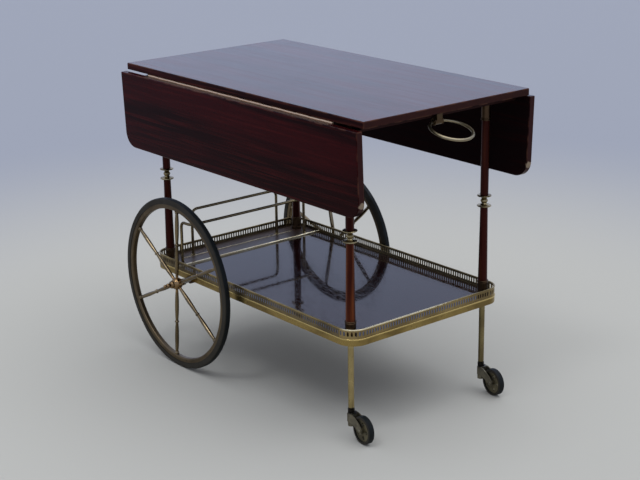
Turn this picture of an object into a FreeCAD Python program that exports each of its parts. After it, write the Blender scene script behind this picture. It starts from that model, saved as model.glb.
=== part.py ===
"""Drop-leaf tea trolley in mahogany and brass.

Millimetres, +Z up. +X points to the caster end, -Y to the near leaf. The origin lies on the floor
under the middle of the bounding box. The leaves hang, as the trolley is stored.
"""
import FreeCAD
import Part

import math
import os

from FreeCAD import Vector

# Top and leaves
top_length = 868.0
top_width = 480.0
board_thickness = 16.0
board_edge_round = 2.0
leaf_width = 184.0
leaf_corner_radius = 36.0
leaf_hang_tilt = 2.0
joint_gap = 1.0

# Piano hinges
hinge_end_inset = 94.0
hinge_plate_width = 18.0
hinge_plate_thickness = 1.0
knuckle_radius = 2.0
knuckle_count = 17
edge_plate_margin = 3.0
knuckle_gap = 0.3
hinge_pin_radius = 0.9
pin_fit = 0.05

# Wood screws
hinge_screw_count = 8
screw_head_radius = 2.8
screw_shank_radius = 1.3
screw_length = 9.0
screw_clearance = 0.3
pan_head_thickness = 1.8

# Rails under the top
column_inset_x = 91.0
column_inset_y = 40.0
cross_rail_width = 36.0
cross_rail_height = 22.0
cross_rail_end_gap = 6.5

# Pull-out slides that hold up the leaves, and their runners
slide_width = 18.0
slide_height = 12.0
slide_recess = 120.0
slide_reach = 60.0
slide_middle_gap = 10.5
slide_nose_length = 52.0
slide_nose_drop = 8.3
slide_clearance = 0.2
runner_wall = 4.8
runner_floor = 4.4
runner_gap = 3.0
runner_end_inset = 30.0
leaf_stop_gap = 0.3

# Columns
column_height = 450.0
cap_height = 42.0
cap_radius = 10.4
upper_radius = 9.3
collar_rise = 222.2
collar_length = 27.2
collar_disc_radius = 16.5
collar_disc_thickness = 3.4
collar_rim_thickness = 1.4
collar_seat_radius = 9.3
collar_neck_radius = 5.4
collar_bead_radius = 8.4
collar_bead_length = 9.0
lower_top_radius = 8.6
lower_base_radius = 10.8
base_height = 33.0
base_radius = 12.0
base_foot_radius = 13.4
base_foot_height = 4.0
sleeve_clearance = 0.1
tie_rod_radius = 2.5
tie_rod_clearance = 0.3
tie_rod_top_bite = 16.0
tie_rod_leg_bite = 15.0
tie_nut_flats = 11.0
tie_nut_height = 6.0

# Tray
tray_rise = 25.5
tray_reach_x = 35.0
tray_reach_y = 28.5
tray_corner_radius = 40.0
band_height = 16.0
band_thickness = 2.5
rib_height = 3.0
rib_reach = 1.2
core_thickness = 12.0
panel_thickness = 3.0
panel_clearance = 0.2
bay_length = 95.0
divider_width = 5.0
divider_rise = 4.0
inlay_width = 3.0
inlay_rise = 0.8
inlay_end_inset = 53.5
inlay_setback = 44.0

# Pierced gallery
gallery_height = 22.0
gallery_thickness = 1.4
gallery_inset = 0.6
gallery_rail_height = 3.6
gallery_rail_width = 3.4
gallery_rail_round = 1.2
slot_width = 4.4
slot_height = 10.2
slot_pitch = 7.6
slot_sill = 5.8

# Bottle rack of wire
wire_radius = 3.6
wire_clearance = 0.3
wire_sink = 9.0
hoop_setback = 36.0
hoop_inset = 95.5
hoop_rise = 117.0
hoop_bend = 16.0
guard_setback = 76.0
guard_inset = 36.5
guard_rise = 106.0
guard_reach = 39.0
guard_bend = 14.0
foot_radius = 7.2
foot_thickness = 2.0

# Large wheels and axle
wheel_radius = 211.5
wheel_gap = 21.5
wheel_setback = 133.0
tyre_depth = 14.4
tyre_width = 15.0
tyre_tread_width = 7.0
rim_depth = 11.0
rim_width = 13.0
rim_round = 3.0
seat_gap = 0.1
hub_radius = 15.0
hub_boss_radius = 8.5
hub_boss_reach = 17.0
spoke_count = 6
near_spoke_turn = 4.2
far_spoke_turn = -12.5
spoke_end_radius = 3.2
spoke_swell_radius = 5.0
spoke_waist_radius = 3.5
spoke_bead_radius = 5.4
spoke_bead_length = 6.0
axle_radius = 5.0
axle_fit = 0.06
axle_end_play = 0.3
axle_collar_radius = 8.0
axle_collar_width = 5.0
axle_stud_radius = 3.0
axle_stud_length = 4.5
finial_base_radius = 9.0
finial_base_length = 8.0
finial_bead_radius = 5.8
finial_tip_radius = 4.4
finial_neck_radius = 2.8
bracket_inset = 24.0
bracket_width = 16.0
bracket_foot_length = 44.0
bracket_foot_thickness = 3.0
bracket_lug_radius = 9.0
bracket_screw_span = 32.0

# Front legs and casters
leg_radius = 6.7
leg_flange_radius = 14.0
leg_flange_thickness = 3.0
caster_height = 66.0
caster_radius = 31.4
caster_width = 14.0
caster_trail = 46.6
caster_lead_angle = -6.0
caster_gap = 0.5
swivel_radius = 7.6
swivel_bottom = 25.6
swivel_stem_radius = 4.0
swivel_stem_length = 42.0
swivel_fit = 0.06
fork_arm_thickness = 2.5
fork_side_gap = 1.5
fork_yoke_height = 20.0
fork_yoke_gap = 2.6
fork_eye_radius = 7.0
fork_arm_bow = 4.0
roller_pin_radius = 3.0
roller_pin_head_radius = 4.6
roller_pin_head_height = 1.4
roller_fit = 0.06
roller_disc_radius = 25.6
roller_disc_thickness = 9.0
roller_boss_radius = 6.5
roller_hole_count = 5
roller_hole_radius = 4.2
roller_hole_circle = 16.5
roller_tread_width = 10.6

# Ring handle
ring_radius = 46.5
ring_wire_radius = 3.4
ring_droop = 15.5
ring_axis_drop = 25.8
ring_axis_gap = 3.4
ring_fit = 0.08
barrel_radius = 7.5
barrel_length = 24.0
barrel_end_gap = 1.0
handle_plate_length = 22.0
handle_plate_back = 2.4
handle_plate_width = 36.0
handle_plate_thickness = 3.0
handle_post_length = 10.0
handle_post_width = 16.0
handle_screw_span = 26.0

# Places worked out from the sizes above
tray_surface = wheel_radius + tray_rise
rail_bottom = tray_surface + column_height
underside = rail_bottom + cross_rail_height
top_height = underside + board_thickness
pin_drop = knuckle_radius + knuckle_gap
pin_y = top_width / 2 + joint_gap / 2
pin_z = underside - pin_drop
plate_edge = knuckle_radius + knuckle_gap
leaf_edge_y = pin_y + joint_gap / 2
edge_plate_top = top_height - edge_plate_margin
edge_screw_z = (underside + edge_plate_top) / 2
edge_seat_y = leaf_edge_y + hinge_plate_thickness
screw_row = plate_edge + (hinge_plate_width - plate_edge) / 2
hinge_length = top_length - 2 * hinge_end_inset
column_x = top_length / 2 - column_inset_x
column_y = top_width / 2 - column_inset_y
cross_rail_half = pin_y - hinge_plate_width - cross_rail_end_gap
runner_inner_x = column_x + cross_rail_width / 2 + runner_gap
slot_clear_width = slide_width + 2 * slide_clearance
runner_outer_x = runner_inner_x + slot_clear_width + 2 * runner_wall
slide_x = (runner_inner_x + runner_outer_x) / 2
slide_top = underside - slide_clearance
slide_bottom = slide_top - slide_height
runner_floor_top = slide_bottom - slide_clearance
runner_bottom = runner_floor_top - runner_floor
slide_tip = pin_y - slide_recess
tray_length = 2 * (column_x + tray_reach_x)
tray_width = 2 * (column_y + tray_reach_y)
core_top = tray_surface - panel_thickness
core_bottom = core_top - core_thickness
tray_rear_x = -tray_length / 2
divider_x = tray_rear_x + bay_length + divider_width / 2
hoop_x = tray_rear_x + hoop_setback
hoop_half = tray_width / 2 - hoop_inset
guard_x = tray_rear_x + guard_setback
guard_half = tray_width / 2 - guard_inset
axle_x = tray_rear_x + wheel_setback
axle_z = wheel_radius
wheel_y = tray_width / 2 + wheel_gap
rim_outer_radius = wheel_radius - tyre_depth - seat_gap
rim_inner_radius = rim_outer_radius - rim_depth
axle_bracket_y = tray_width / 2 - bracket_inset
collar_level = tray_surface + collar_rise
collar_bottom = collar_level - collar_length / 2
collar_top = collar_level + collar_length / 2
ring_axis_x = runner_outer_x + ring_axis_gap
ring_axis_z = underside - ring_axis_drop
ring_pivot_half = barrel_length / 2 + barrel_end_gap
ring_chord_drop = math.sqrt(ring_radius ** 2 - ring_pivot_half ** 2)
ring_reach = (ring_chord_drop + ring_radius) * math.cos(math.radians(ring_droop)) + ring_wire_radius
ring_front_x = ring_axis_x + ring_reach
part_min_x = min(-top_length / 2, axle_x - wheel_radius)
part_max_x = max(top_length / 2, ring_front_x)
centre_shift = Vector(-(part_min_x + part_max_x) / 2, 0, 0)

COLUMNS = {
    "front_near": (column_x, -column_y),
    "front_far": (column_x, column_y),
    "rear_near": (-column_x, -column_y),
    "rear_far": (-column_x, column_y),
}
AXIS_X = Vector(1, 0, 0)
AXIS_Y = Vector(0, 1, 0)
AXIS_Z = Vector(0, 0, 1)
ORIGIN = Vector(0, 0, 0)


def box(x_range, y_range, z_range):
    """Box between two limits on each axis."""
    size = [high - low for low, high in (x_range, y_range, z_range)]
    return Part.makeBox(*size, Vector(x_range[0], y_range[0], z_range[0]))


def upright(radius, x, y, z_low, z_high):
    """Vertical cylinder."""
    return Part.makeCylinder(radius, z_high - z_low, Vector(x, y, z_low), AXIS_Z)


def crosswise(radius, x, z, y_low, y_high):
    """Cylinder along Y."""
    return Part.makeCylinder(radius, y_high - y_low, Vector(x, y_low, z), AXIS_Y)


def prism(points, direction):
    """Solid swept from a closed polygon."""
    return Part.Face(Part.makePolygon(points + [points[0]])).extrude(direction)


def lathe(edges, axis):
    """Solid turned from a profile that starts and ends on the axis."""
    wire = Part.Wire(edges)
    closing = Part.makeLine(wire.OrderedVertexes[-1].Point, wire.OrderedVertexes[0].Point)
    return Part.Face(Part.Wire(edges + [closing])).revolve(ORIGIN, axis, 360)


def profile(points):
    """Edges through points; a triple (start, middle, end) in the list is an arc through its middle."""
    edges = []
    for first, second in zip(points, points[1:]):
        start = first[-1] if isinstance(first, tuple) else first
        if isinstance(second, tuple):
            edges.append(Part.Arc(start, second[0], second[1]).toShape())
        else:
            edges.append(Part.makeLine(start, second))
    return edges


def rounded_plate(half_x, half_y, radius, z_low, z_high):
    """Plate with a rounded rectangle as its plan."""
    blank = box((-half_x, half_x), (-half_y, half_y), (z_low, z_high))
    corners = [e for e in blank.Edges if abs(e.tangentAt(e.FirstParameter).z) > 0.9]
    return blank.makeFillet(radius, corners)


def pipe(points, bend, radius):
    """Round wire along a path of straight runs joined by tangent arcs."""
    edges = []
    start = points[0]
    for before, corner, after in zip(points, points[1:], points[2:]):
        inward = (before - corner).normalize()
        outward = (after - corner).normalize()
        half_turn = inward.getAngle(outward) / 2
        reach = bend / math.tan(half_turn)
        first = corner + inward * reach
        last = corner + outward * reach
        middle_way = (inward + outward).normalize()
        middle = corner + middle_way * (bend / math.sin(half_turn) - bend)
        edges.append(Part.makeLine(start, first))
        edges.append(Part.Arc(first, middle, last).toShape())
        start = last
    edges.append(Part.makeLine(start, points[-1]))
    path = Part.Wire(edges)
    section = Part.Wire(Part.makeCircle(radius, points[0], points[1] - points[0]))
    return path.makePipeShell([section], True, False)


def to_near(shape):
    """Copy of a far-side piece on the near side."""
    return shape.mirror(ORIGIN, AXIS_Y)


def to_rear(shape):
    """Copy of a front piece at the rear."""
    return shape.mirror(ORIGIN, AXIS_X)


def both_sides(shape):
    """A far-side piece and its near copy."""
    return [shape, to_near(shape)]


def hung(shape):
    """A far-side leaf piece, turned from level to hanging about its hinge pin."""
    hanging = shape.copy()
    hanging.rotate(Vector(0, pin_y, pin_z), AXIS_X, -(90 + leaf_hang_tilt))
    return hanging


def hinge_screw_places():
    """X places of the screws along one hinge plate."""
    step = hinge_length / hinge_screw_count
    return [-hinge_length / 2 + step * (i + 0.5) for i in range(hinge_screw_count)]


def hinge_screw(x, y):
    """Flush wood screw driven up through a hinge plate."""
    head = upright(screw_head_radius, x, y, underside - hinge_plate_thickness, underside)
    return head.fuse(upright(screw_shank_radius, x, y, underside, underside + screw_length)).removeSplitter()


def edge_screw(x):
    """Flush wood screw driven into the edge of the level far leaf."""
    head = crosswise(screw_head_radius, x, edge_screw_z, leaf_edge_y, edge_seat_y)
    shank = crosswise(screw_shank_radius, x, edge_screw_z, edge_seat_y, edge_seat_y + screw_length)
    return head.fuse(shank).removeSplitter()


def edge_screw_hole(x):
    """Cut for the shank of a screw in the leaf's edge."""
    end = edge_seat_y + screw_length + screw_clearance
    return crosswise(screw_shank_radius + screw_clearance, x, edge_screw_z, leaf_edge_y, end)


def pan_screw(x, y, seat):
    """Round-headed wood screw driven up, its head under the seat level."""
    head = upright(screw_head_radius, x, y, seat - pan_head_thickness, seat)
    shank = upright(screw_shank_radius, x, y, seat, seat + screw_length)
    return head.fuse(shank).removeSplitter()


def screw_hole(x, y, z_low):
    """Cut for a screw's shank."""
    return upright(screw_shank_radius + screw_clearance, x, y, z_low, z_low + screw_length + screw_clearance)


def eased(board):
    """Board with its edges slightly rounded."""
    return board.makeFillet(board_edge_round, board.Edges)


def top_board():
    """Fixed middle of the table top."""
    half_x = top_length / 2
    half_y = top_width / 2
    board = eased(box((-half_x, half_x), (-half_y, half_y), (underside, top_height)))
    row = pin_y - screw_row
    cuts = [screw_hole(x, side * row, underside) for x in hinge_screw_places() for side in (-1, 1)]
    cuts += [screw_hole(x, y, underside) for x, y in handle_screw_places()]
    return board.cut(cuts)


def leaf():
    """Far leaf, level."""
    outer = leaf_edge_y + leaf_width
    blank = box((-top_length / 2, top_length / 2), (leaf_edge_y, outer), (underside, top_height))
    corners = [e for e in blank.Edges
               if abs(e.tangentAt(e.FirstParameter).z) > 0.9 and e.CenterOfMass.y > (leaf_edge_y + outer) / 2]
    board = eased(blank.makeFillet(leaf_corner_radius, corners))
    rebate = box((-hinge_length / 2, hinge_length / 2), (leaf_edge_y, edge_seat_y), (underside, edge_plate_top))
    return board.cut([rebate] + [edge_screw_hole(x) for x in hinge_screw_places()])


def knuckle_spans(parity):
    """X ranges of every second knuckle of a hinge."""
    pitch = hinge_length / knuckle_count
    starts = [-hinge_length / 2 + index * pitch for index in range(parity, knuckle_count, 2)]
    return [(start + knuckle_gap / 2, start + pitch - knuckle_gap / 2) for start in starts]


def knuckled(plate, parity, neck_y, neck_z):
    """A hinge plate with its knuckles, each joined to it by a neck, bored for the pin."""
    added = []
    for low, high in knuckle_spans(parity):
        added.append(Part.makeCylinder(knuckle_radius, high - low, Vector(low, pin_y, pin_z), AXIS_X))
        added.append(box((low, high), neck_y, neck_z))
    start = Vector(-hinge_length / 2, pin_y, pin_z)
    bore = Part.makeCylinder(hinge_pin_radius + pin_fit, hinge_length, start, AXIS_X)
    return plate.fuse(added).removeSplitter().cut(bore)


def hinge_board_plate():
    """Plate of the far piano hinge under the board."""
    z_range = (underside - hinge_plate_thickness, underside)
    y_range = (pin_y - hinge_plate_width, pin_y - plate_edge)
    plate = knuckled(box((-hinge_length / 2, hinge_length / 2), y_range, z_range), 0,
                     (pin_y - plate_edge, pin_y), z_range)
    row = pin_y - screw_row
    radius = screw_head_radius + screw_clearance
    return plate.cut([upright(radius, x, row, *z_range) for x in hinge_screw_places()])


def hinge_leaf_plate():
    """Plate of the far piano hinge let into the edge of the level leaf."""
    y_range = (leaf_edge_y, edge_seat_y)
    plate = knuckled(box((-hinge_length / 2, hinge_length / 2), y_range, (underside, edge_plate_top)), 1,
                     y_range, (pin_z, underside))
    radius = screw_head_radius + screw_clearance
    return plate.cut([crosswise(radius, x, edge_screw_z, *y_range) for x in hinge_screw_places()])


def hinge_pin():
    """Pin of the far hinge."""
    return Part.makeCylinder(hinge_pin_radius, hinge_length, Vector(-hinge_length / 2, pin_y, pin_z), AXIS_X)


def cross_rail():
    """Front rail across the top, carried by two columns."""
    x_range = (column_x - cross_rail_width / 2, column_x + cross_rail_width / 2)
    rail = box(x_range, (-cross_rail_half, cross_rail_half), (rail_bottom, underside))
    bite_top = rail_bottom + tie_rod_top_bite + tie_rod_clearance
    return rail.cut([tie_rod_bore(column_x, side * column_y, rail_bottom, bite_top) for side in (-1, 1)])


def runner():
    """Front channel across the top that guides the slides; its floor runs on and stops the hanging leaves."""
    half = top_width / 2 - runner_end_inset
    body = box((runner_inner_x, runner_outer_x), (-half, half), (runner_bottom, underside))
    clear = (slide_x - slot_clear_width / 2, slide_x + slot_clear_width / 2)
    body = body.cut(box(clear, (-half, half), (runner_floor_top, underside)))
    tilt = math.radians(leaf_hang_tilt)
    depth = pin_z - runner_bottom
    stop = pin_y + pin_drop / math.cos(tilt) - depth * math.tan(tilt) - leaf_stop_gap
    tongue = box((runner_inner_x, runner_outer_x), (-stop, stop), (runner_bottom, runner_floor_top))
    return body.fuse(tongue).removeSplitter()


def slide():
    """Front slide of the far leaf, pushed in; its planed nose slips under the rising leaf."""
    x = slide_x - slide_width / 2
    side = [(slide_middle_gap, slide_bottom), (slide_tip, slide_bottom),
            (slide_tip, slide_top - slide_nose_drop), (slide_tip - slide_nose_length, slide_top),
            (slide_middle_gap, slide_top)]
    return prism([Vector(x, y, z) for y, z in side], Vector(slide_width, 0, 0))


def ring(outer, inner, x, y, z_low, z_high):
    """Upright sleeve."""
    return upright(outer, x, y, z_low, z_high).cut(upright(inner, x, y, z_low, z_high))


def tie_rod_bore(x, y, z_low, z_high):
    """Cut for a tie rod."""
    return upright(tie_rod_radius + tie_rod_clearance, x, y, z_low, z_high)


def column_upper(x, y):
    """Upper turned length of a column."""
    body = upright(upper_radius, x, y, collar_top, rail_bottom)
    return body.cut(tie_rod_bore(x, y, collar_top, rail_bottom))


def column_lower(x, y):
    """Lower turned length, swelling towards the tray."""
    taper_start = tray_surface + base_height
    body = lathe(profile([
        Vector(0, 0, tray_surface),
        Vector(lower_base_radius, 0, tray_surface),
        Vector(lower_base_radius, 0, taper_start),
        Vector(lower_top_radius, 0, collar_bottom),
        Vector(0, 0, collar_bottom),
    ]), AXIS_Z)
    body.translate(Vector(x, y, 0))
    return body.cut(tie_rod_bore(x, y, tray_surface, collar_bottom))


def column_collar(x, y):
    """Brass collar: two thin discs and a beaded neck between them."""
    half = collar_length / 2
    disc = half - collar_disc_thickness
    rim = half - collar_disc_thickness / 2
    lip = collar_rim_thickness / 2
    lip_radius = collar_disc_radius - lip
    bead = collar_bead_length / 2

    def at(radius, height):
        return Vector(radius, 0, collar_level + height)

    body = lathe(profile([
        at(0, -half),
        at(collar_seat_radius, -half),
        at(lip_radius, -rim - lip),
        (at(collar_disc_radius, -rim), at(lip_radius, -rim + lip)),
        at(collar_neck_radius, -disc),
        at(collar_neck_radius, -bead),
        (at(collar_bead_radius, 0), at(collar_neck_radius, bead)),
        at(collar_neck_radius, disc),
        at(lip_radius, rim - lip),
        (at(collar_disc_radius, rim), at(lip_radius, rim + lip)),
        at(collar_seat_radius, half),
        at(0, half),
    ]), AXIS_Z)
    body.translate(Vector(x, y, 0))
    return body.cut(tie_rod_bore(x, y, collar_bottom, collar_top))


def column_cap(x, y):
    """Brass sleeve at the head of a column."""
    return ring(cap_radius, upper_radius + sleeve_clearance, x, y, rail_bottom - cap_height, rail_bottom)


def column_base(x, y):
    """Brass sleeve with a spread foot on the tray."""
    inner = lower_base_radius + sleeve_clearance
    sleeve = ring(base_radius, inner, x, y, tray_surface, tray_surface + base_height)
    foot = ring(base_foot_radius, inner, x, y, tray_surface, tray_surface + base_foot_height)
    return sleeve.fuse(foot).removeSplitter()


def tie_rod(place):
    """Rod through one column: a nut holds the rear ones, the legs screw onto the front ones."""
    x, y = COLUMNS[place]
    top = rail_bottom + tie_rod_top_bite
    if place.startswith("front"):
        return upright(tie_rod_radius, x, y, core_bottom - leg_flange_thickness - tie_rod_leg_bite, top)
    nut_low = core_bottom - tie_nut_height
    nut_corner = Vector(tie_nut_flats / math.sqrt(3), 0, 0)
    turns = [FreeCAD.Rotation(AXIS_Z, 60 * index) for index in range(6)]
    nut = prism([Vector(x, y, nut_low) + turn.multVec(nut_corner) for turn in turns], AXIS_Z * tie_nut_height)
    return nut.fuse(upright(tie_rod_radius, x, y, nut_low, top)).removeSplitter()


def tray_plan(inset, z_low, z_high):
    """Slab with the tray's plan, drawn in by an inset."""
    half_x = tray_length / 2 - inset
    half_y = tray_width / 2 - inset
    return rounded_plate(half_x, half_y, tray_corner_radius - inset, z_low, z_high)


def rack_foot_places():
    """Where the rack's wires go into the tray."""
    pairs = ((hoop_x, hoop_half), (guard_x, guard_half))
    return [(x, side * half) for x, half in pairs for side in (-1, 1)]


def wire_hole(x, y, z_low, z_high):
    """Cut for a wire of the rack."""
    return upright(wire_radius + wire_clearance, x, y, z_low, z_high)


def tray_holes(z_low, z_high):
    """Cuts through the tray for the tie rods and the rack's wires."""
    rods = [tie_rod_bore(x, y, z_low, z_high) for x, y in COLUMNS.values()]
    return rods + [wire_hole(x, y, z_low, z_high) for x, y in rack_foot_places()]


def tray_core():
    """Board of the tray."""
    core = tray_plan(band_thickness + panel_clearance, core_bottom, core_top)
    cuts = [screw_hole(x, side * axle_bracket_y, core_bottom)
            for x in bracket_screw_places() for side in (-1, 1)]
    wire_low = tray_surface - wire_sink - wire_clearance
    cuts += [wire_hole(x, y, wire_low, core_top) for x, y in rack_foot_places()]
    cuts += [tie_rod_bore(x, y, core_bottom, core_top) for x, y in COLUMNS.values()]
    return core.cut(cuts)


def tray_cover(x_range):
    """Piece of the tray's surface between two X limits."""
    cover = tray_plan(band_thickness + panel_clearance, core_top, tray_surface)
    half = tray_width / 2
    cover = cover.common(box(x_range, (-half, half), (core_top, tray_surface)))
    return cover.cut(tray_holes(core_top, tray_surface))


def serving_panel():
    """Glossy panel of the tray."""
    return tray_cover((divider_x + divider_width / 2, tray_length / 2))


def bottle_floor():
    """Duller floor of the bottle bay."""
    return tray_cover((tray_rear_x, divider_x - divider_width / 2))


def tray_strips():
    """Bar between bottle bay and panel, and the thin strip on the bay's floor."""
    half = tray_width / 2 - band_thickness - panel_clearance
    bar = box((divider_x - divider_width / 2, divider_x + divider_width / 2), (-half, half),
              (core_top, tray_surface + divider_rise))
    upper = [e for e in bar.Edges if e.CenterOfMass.z > tray_surface + divider_rise - 0.01]
    bar = bar.makeFillet(min(divider_width, divider_rise) / 3, upper)
    strip_x = tray_rear_x + inlay_setback
    strip_half = tray_width / 2 - inlay_end_inset
    strip = box((strip_x, strip_x + inlay_width), (-strip_half, strip_half),
                (tray_surface, tray_surface + inlay_rise))
    return [bar, strip]


def tray_band():
    """Brass band round the tray, with a rib along its top edge."""
    bottom = tray_surface - band_height
    band = tray_plan(0, bottom, tray_surface)
    rib = tray_plan(-rib_reach, tray_surface - rib_height, tray_surface)
    rib = rib.makeFillet(rib_reach, [e for e in rib.Edges if abs(e.tangentAt(e.FirstParameter).z) < 0.1])
    return band.fuse(rib).cut(tray_plan(band_thickness, bottom, tray_surface)).removeSplitter()


def gallery_wall():
    """Unpierced gallery strip all round the tray."""
    top = tray_surface + gallery_height - gallery_rail_height
    outer = tray_plan(gallery_inset, tray_surface, top)
    return outer.cut(tray_plan(gallery_inset + gallery_thickness, tray_surface, top))


def slot_cut(place, angle):
    """Upright round-ended slot through the gallery; the angle is that of its outward direction."""
    depth = 4 * gallery_thickness
    low = tray_surface + slot_sill + slot_width / 2
    high = tray_surface + slot_sill + slot_height - slot_width / 2
    half = slot_width / 2
    edges = profile([
        Vector(-depth / 2, -half, low),
        (Vector(-depth / 2, 0, low - half), Vector(-depth / 2, half, low)),
        Vector(-depth / 2, half, high),
        (Vector(-depth / 2, 0, high + half), Vector(-depth / 2, -half, high)),
        Vector(-depth / 2, -half, low),
    ])
    slot = Part.Face(Part.Wire(edges)).extrude(Vector(depth, 0, 0))
    slot.rotate(ORIGIN, AXIS_Z, angle)
    slot.translate(place)
    return slot


def evenly(length):
    """Places of the slots along a straight length, about its middle."""
    count = int(length // slot_pitch)
    return [(i - (count - 1) / 2) * slot_pitch for i in range(count)]


def gallery_piece(x_range, y_range):
    """Stretch of the unpierced gallery between two limits on each axis."""
    return gallery_wall().common(box(x_range, y_range, (tray_surface, tray_surface + gallery_height)))


def gallery_front():
    """Straight front wall of the gallery."""
    middle = tray_length / 2 - gallery_inset - gallery_thickness / 2
    half = tray_width / 2 - tray_corner_radius
    wall = gallery_piece((0, tray_length), (-half, half))
    return wall.cut([slot_cut(Vector(middle, y, 0), 0) for y in evenly(2 * half)])


def gallery_far():
    """Straight far wall of the gallery."""
    middle = tray_width / 2 - gallery_inset - gallery_thickness / 2
    half = tray_length / 2 - tray_corner_radius
    wall = gallery_piece((-half, half), (0, tray_width))
    return wall.cut([slot_cut(Vector(x, middle, 0), 90) for x in evenly(2 * half)])


def gallery_corner():
    """Front far corner of the gallery."""
    centre = Vector(tray_length / 2 - tray_corner_radius, tray_width / 2 - tray_corner_radius, 0)
    bend = tray_corner_radius - gallery_inset - gallery_thickness / 2
    wall = gallery_piece((centre.x, tray_length), (centre.y, tray_width))
    count = int(math.radians(90) * bend // slot_pitch)
    slots = []
    for index in range(count):
        angle = 90 * (index + 0.5) / count
        out = FreeCAD.Rotation(AXIS_Z, angle).multVec(AXIS_X * bend)
        slots.append(slot_cut(centre + out, angle))
    return wall.cut(slots)


def gallery_rail():
    """Rounded rail along the top of the gallery."""
    low = tray_surface + gallery_height - gallery_rail_height
    middle = gallery_inset + gallery_thickness / 2
    outer = tray_plan(middle - gallery_rail_width / 2, low, low + gallery_rail_height)
    rail = outer.cut(tray_plan(middle + gallery_rail_width / 2, low, low + gallery_rail_height))
    return rail.makeFillet(gallery_rail_round, rail.Edges)


def rack_hoop():
    """Tall hoop of the bottle rack."""
    foot = tray_surface - wire_sink
    top = tray_surface + hoop_rise
    return pipe([Vector(hoop_x, -hoop_half, foot), Vector(hoop_x, -hoop_half, top),
                 Vector(hoop_x, hoop_half, top), Vector(hoop_x, hoop_half, foot)], hoop_bend, wire_radius)


def rack_guard():
    """Lower guard rail, bent forward from its two feet."""
    foot = tray_surface - wire_sink
    top = tray_surface + guard_rise
    front = guard_x + guard_reach
    far_side = [Vector(x, guard_half, z) for x, z in ((front, top), (guard_x, top), (guard_x, foot))]
    near_side = [Vector(v.x, -v.y, v.z) for v in reversed(far_side)]
    return pipe(near_side + far_side, guard_bend, wire_radius)


def rack_feet():
    """Rosettes where the wires meet the tray."""
    return [ring(foot_radius, wire_radius + wire_clearance, x, y, tray_surface, tray_surface + foot_thickness)
            for x, y in rack_foot_places()]


def bracket_screw_places():
    """X places of the screws of an axle bracket."""
    return [axle_x - bracket_screw_span / 2, axle_x + bracket_screw_span / 2]


def axle_bracket():
    """Far bracket that carries the axle under the tray."""
    y_range = (axle_bracket_y - bracket_width / 2, axle_bracket_y + bracket_width / 2)
    half = bracket_foot_length / 2
    foot = box((axle_x - half, axle_x + half), y_range, (core_bottom - bracket_foot_thickness, core_bottom))
    web = box((axle_x - bracket_lug_radius, axle_x + bracket_lug_radius), y_range, (axle_z, core_bottom))
    lug = crosswise(bracket_lug_radius, axle_x, axle_z, *y_range)
    bore = crosswise(axle_radius + axle_fit, axle_x, axle_z, *y_range)
    low = core_bottom - bracket_foot_thickness
    holes = [upright(screw_shank_radius + screw_clearance, x, axle_bracket_y, low, core_bottom)
             for x in bracket_screw_places()]
    return foot.fuse([web, lug]).removeSplitter().cut([bore] + holes)


def hub_inner():
    """Distance from the middle of the trolley to the inner face of a hub."""
    return wheel_y - hub_boss_reach


def hub_outer():
    """Distance from the middle of the trolley to the outer face of a hub."""
    return wheel_y + math.sqrt(hub_radius ** 2 - hub_boss_radius ** 2)


def axle():
    """Fixed axle: collars keep the wheels out, finials keep them on."""
    end = hub_outer() + axle_end_play
    inner = hub_inner() - axle_end_play
    rod = crosswise(axle_radius, axle_x, axle_z, -end, end)
    studs = crosswise(axle_stud_radius, axle_x, axle_z, -end - axle_stud_length, end + axle_stud_length)
    collars = both_sides(crosswise(axle_collar_radius, axle_x, axle_z, inner - axle_collar_width, inner))
    return rod.fuse([studs] + collars).removeSplitter()


def axle_finial():
    """Far finial nut: a flared base and two beads."""
    start = hub_outer() + axle_end_play
    bead_start = finial_base_length
    bead_end = bead_start + 2 * math.sqrt(finial_bead_radius ** 2 - finial_neck_radius ** 2)
    tip = bead_end + finial_tip_radius + math.sqrt(finial_tip_radius ** 2 - finial_neck_radius ** 2)
    tip_middle = tip - finial_tip_radius

    def at(radius, along):
        return Vector(radius, along, 0)

    body = lathe(profile([
        at(0, 0),
        at(finial_base_radius, 0),
        (at(finial_base_radius, finial_base_length / 2), at(finial_neck_radius, bead_start)),
        (at(finial_bead_radius, (bead_start + bead_end) / 2), at(finial_neck_radius, bead_end)),
        (at(finial_tip_radius, tip_middle), at(0, tip)),
    ]), AXIS_Y)
    body.translate(Vector(axle_x, start, axle_z))
    socket_end = start + axle_stud_length + seat_gap
    return body.cut(crosswise(axle_stud_radius + seat_gap, axle_x, axle_z, start, socket_end))


def wheel_section(points):
    """Ring turned about the far wheel's axis from a closed profile of (radius, offset along Y)."""
    edges = profile(points)
    solid = Part.Face(Part.Wire(edges)).revolve(ORIGIN, AXIS_Y, 360)
    solid.translate(Vector(axle_x, wheel_y, axle_z))
    return solid


def wheel_tyre():
    """Rubber tyre of the far wheel, domed at the tread."""
    def at(radius, along):
        return Vector(radius, along, 0)

    half = tyre_width / 2
    tread = tyre_tread_width / 2
    inner = wheel_radius - tyre_depth
    shoulder = wheel_radius - (half - tread)
    bulge = (half - tread) * (1 - math.sqrt(0.5))
    return wheel_section([
        at(inner, -half),
        at(shoulder, -half),
        (at(wheel_radius - bulge, -half + bulge), at(wheel_radius, -tread)),
        at(wheel_radius, tread),
        (at(wheel_radius - bulge, half - bulge), at(shoulder, half)),
        at(inner, half),
        at(inner, -half),
    ])


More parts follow.
